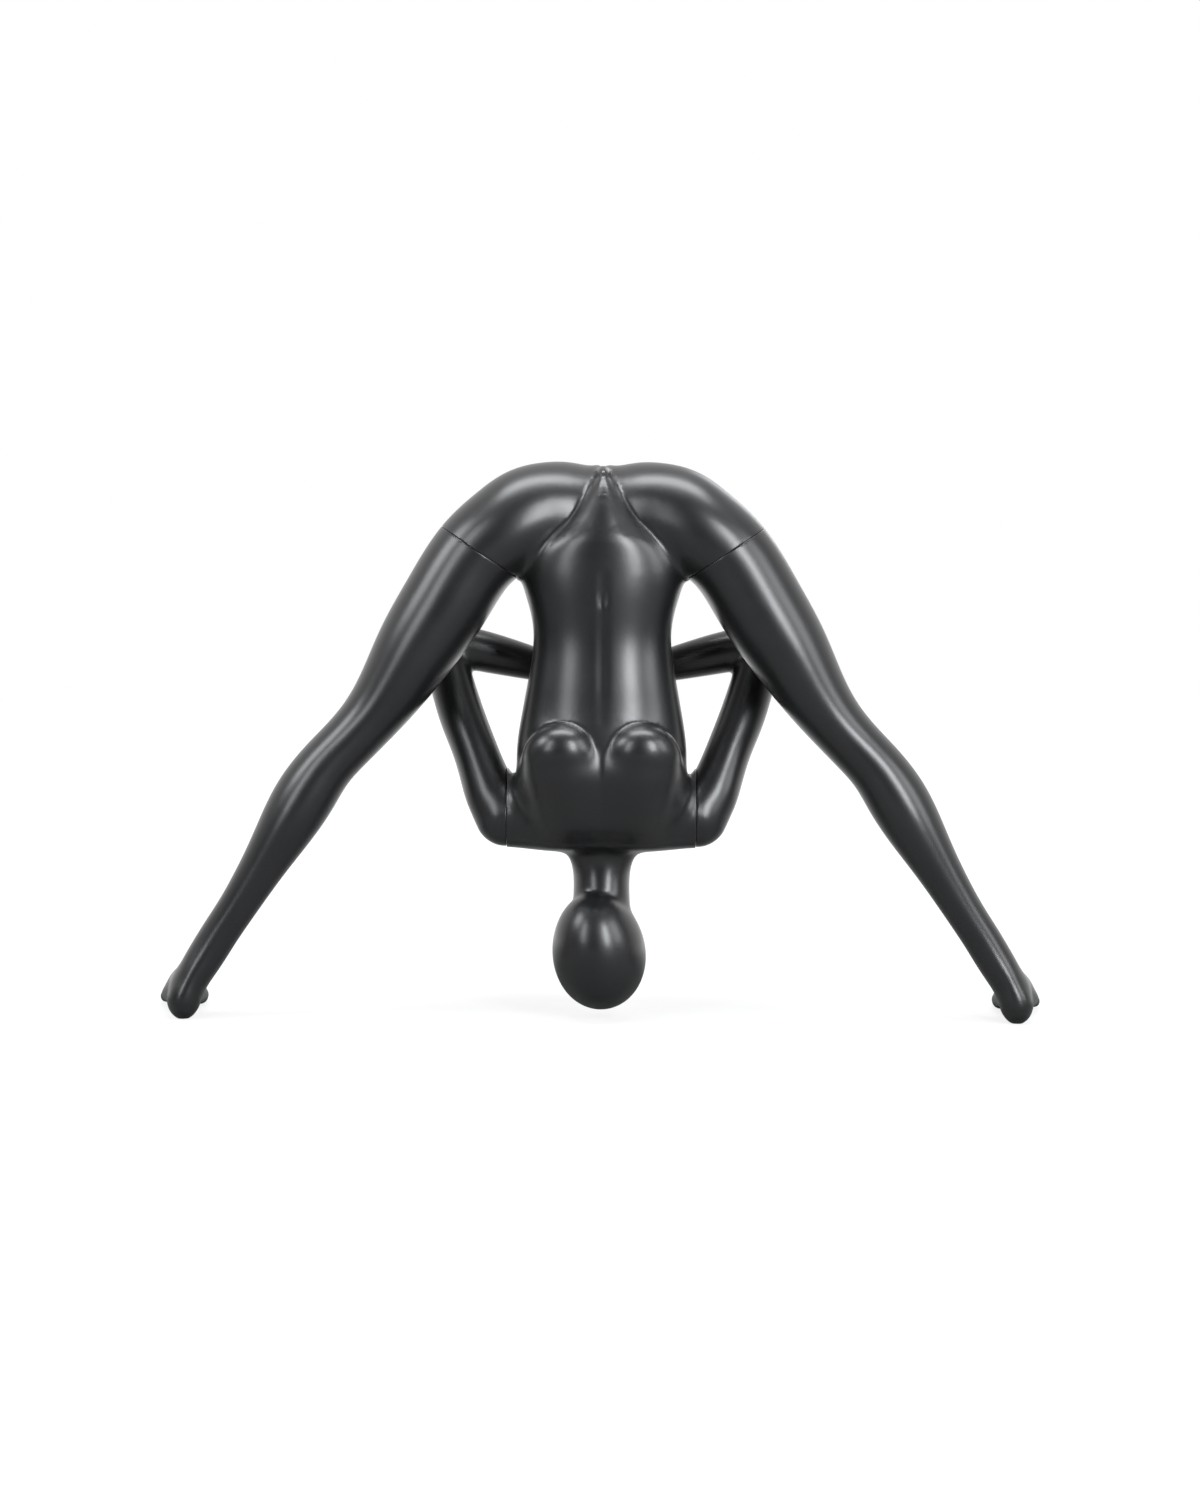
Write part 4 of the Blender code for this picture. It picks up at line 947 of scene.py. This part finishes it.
def softbox(name, place, size, power):
    """Area lamp that looks at the middle of the figure."""
    light = bpy.data.lights.new(name, "AREA")
    light.shape = "RECTANGLE"
    light.size, light.size_y = size
    light.energy = power
    light.color = COOL_WHITE
    lamp = bpy.data.objects.new(name, light)
    lamp.location = place
    aim = Vector((0, FRAME_SHIFT, LIT_HEIGHT)) - Vector(place)
    lamp.rotation_euler = aim.to_track_quat("-Z", "Y").to_euler()
    bpy.context.scene.collection.objects.link(lamp)


def paper():
    """White paper that glows for the camera, and in reflections only behind the figure."""
    made, tree, shader = new_material("white_paper")
    shader.inputs["Base Color"].default_value = (PAPER_GREY, PAPER_GREY, PAPER_GREY, 1)
    shader.inputs["Roughness"].default_value = 0.9
    shader.inputs["Specular IOR Level"].default_value = 0.1
    shader.inputs["Emission Color"].default_value = (1, 1, 1, 1)
    ray = node(tree, "ShaderNodeLightPath")
    spot = node(tree, "ShaderNodeNewGeometry")
    away = node(tree, "ShaderNodeVectorMath", [(0, spot.outputs["Position"])], operation="LENGTH")
    limits = [("From Min", PAPER_NEAR), ("From Max", PAPER_FAR), ("To Min", PAPER_GLOW), ("To Max", 1.0)]
    level = mapped(tree, away.outputs["Value"], limits)
    side = node(tree, "ShaderNodeSeparateXYZ", [("Vector", spot.outputs["Position"])])
    behind = mapped(tree, side.outputs["Y"], [("From Min", PAPER_DARK_Y), ("From Max", PAPER_PALE_Y)])
    reflected = arithmetic(tree, "MULTIPLY", ray.outputs["Is Glossy Ray"], behind)
    seen = arithmetic(tree, "MAXIMUM", ray.outputs["Is Camera Ray"], reflected)
    glow = arithmetic(tree, "MULTIPLY", seen, level)
    tree.links.new(glow, shader.inputs["Emission Strength"])
    return made


def room():
    """World that is white to the camera, and otherwise dark in front and pale behind."""
    world = bpy.data.worlds.new("room")
    bpy.context.scene.world = world
    world.use_nodes = True
    tree = world.node_tree
    background = tree.nodes["Background"]
    place = node(tree, "ShaderNodeTexCoord")
    away = node(tree, "ShaderNodeSeparateXYZ", [("Vector", place.outputs["Generated"])])
    limits = [("From Min", -ROOM_TURN), ("From Max", ROOM_TURN),
              ("To Min", ROOM_FRONT), ("To Max", ROOM_BACK)]
    level = mapped(tree, away.outputs["Y"], limits)
    ray = node(tree, "ShaderNodeLightPath")
    links = [("Factor", ray.outputs["Is Camera Ray"]), ("A", level), ("B", 1.0)]
    shown = node(tree, "ShaderNodeMix", links, data_type="FLOAT")
    tree.links.new(shown.outputs["Result"], background.inputs["Strength"])
    background.inputs["Color"].default_value = (1, 1, 1, 1)


def studio():
    """White paper floor with a soft shadow, a plain room and softboxes all round."""
    bm = bmesh.new()
    bmesh.ops.create_circle(bm, cap_ends=True, radius=FLOOR_RADIUS, segments=64)
    mesh = bpy.data.meshes.new("floor")
    bm.to_mesh(mesh)
    bm.free()
    floor = bpy.data.objects.new("floor", mesh)
    floor.location.z = -FLOOR_DROP
    bpy.context.scene.collection.objects.link(floor)
    mesh.materials.append(paper())
    room()
    for lamp in SOFTBOXES:
        softbox(*lamp)


def camera():
    """Camera at the photograph's place, for a frame of 1200 by 1500."""
    data = bpy.data.cameras.new("camera")
    data.lens = CAMERA_LENS
    data.sensor_width = CAMERA_SENSOR
    data.shift_x = CAMERA_SHIFT
    made = bpy.data.objects.new("camera", data)
    made.location = (0, FRAME_SHIFT - CAMERA_AWAY, CAMERA_HEIGHT)
    made.rotation_euler = (math.pi / 2 - CAMERA_DIP, CAMERA_ROLL, 0)
    bpy.context.scene.collection.objects.link(made)
    bpy.context.scene.camera = made


def main():
    for old in list(bpy.data.objects):
        bpy.data.objects.remove(old)
    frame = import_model()
    bpy.context.scene.view_settings.view_transform = "Standard"
    finishes = Finishes()
    moulded_parts(finishes.lacquer)
    dress_fittings(frame["nodes"], finishes)
    studio()
    camera()


main()
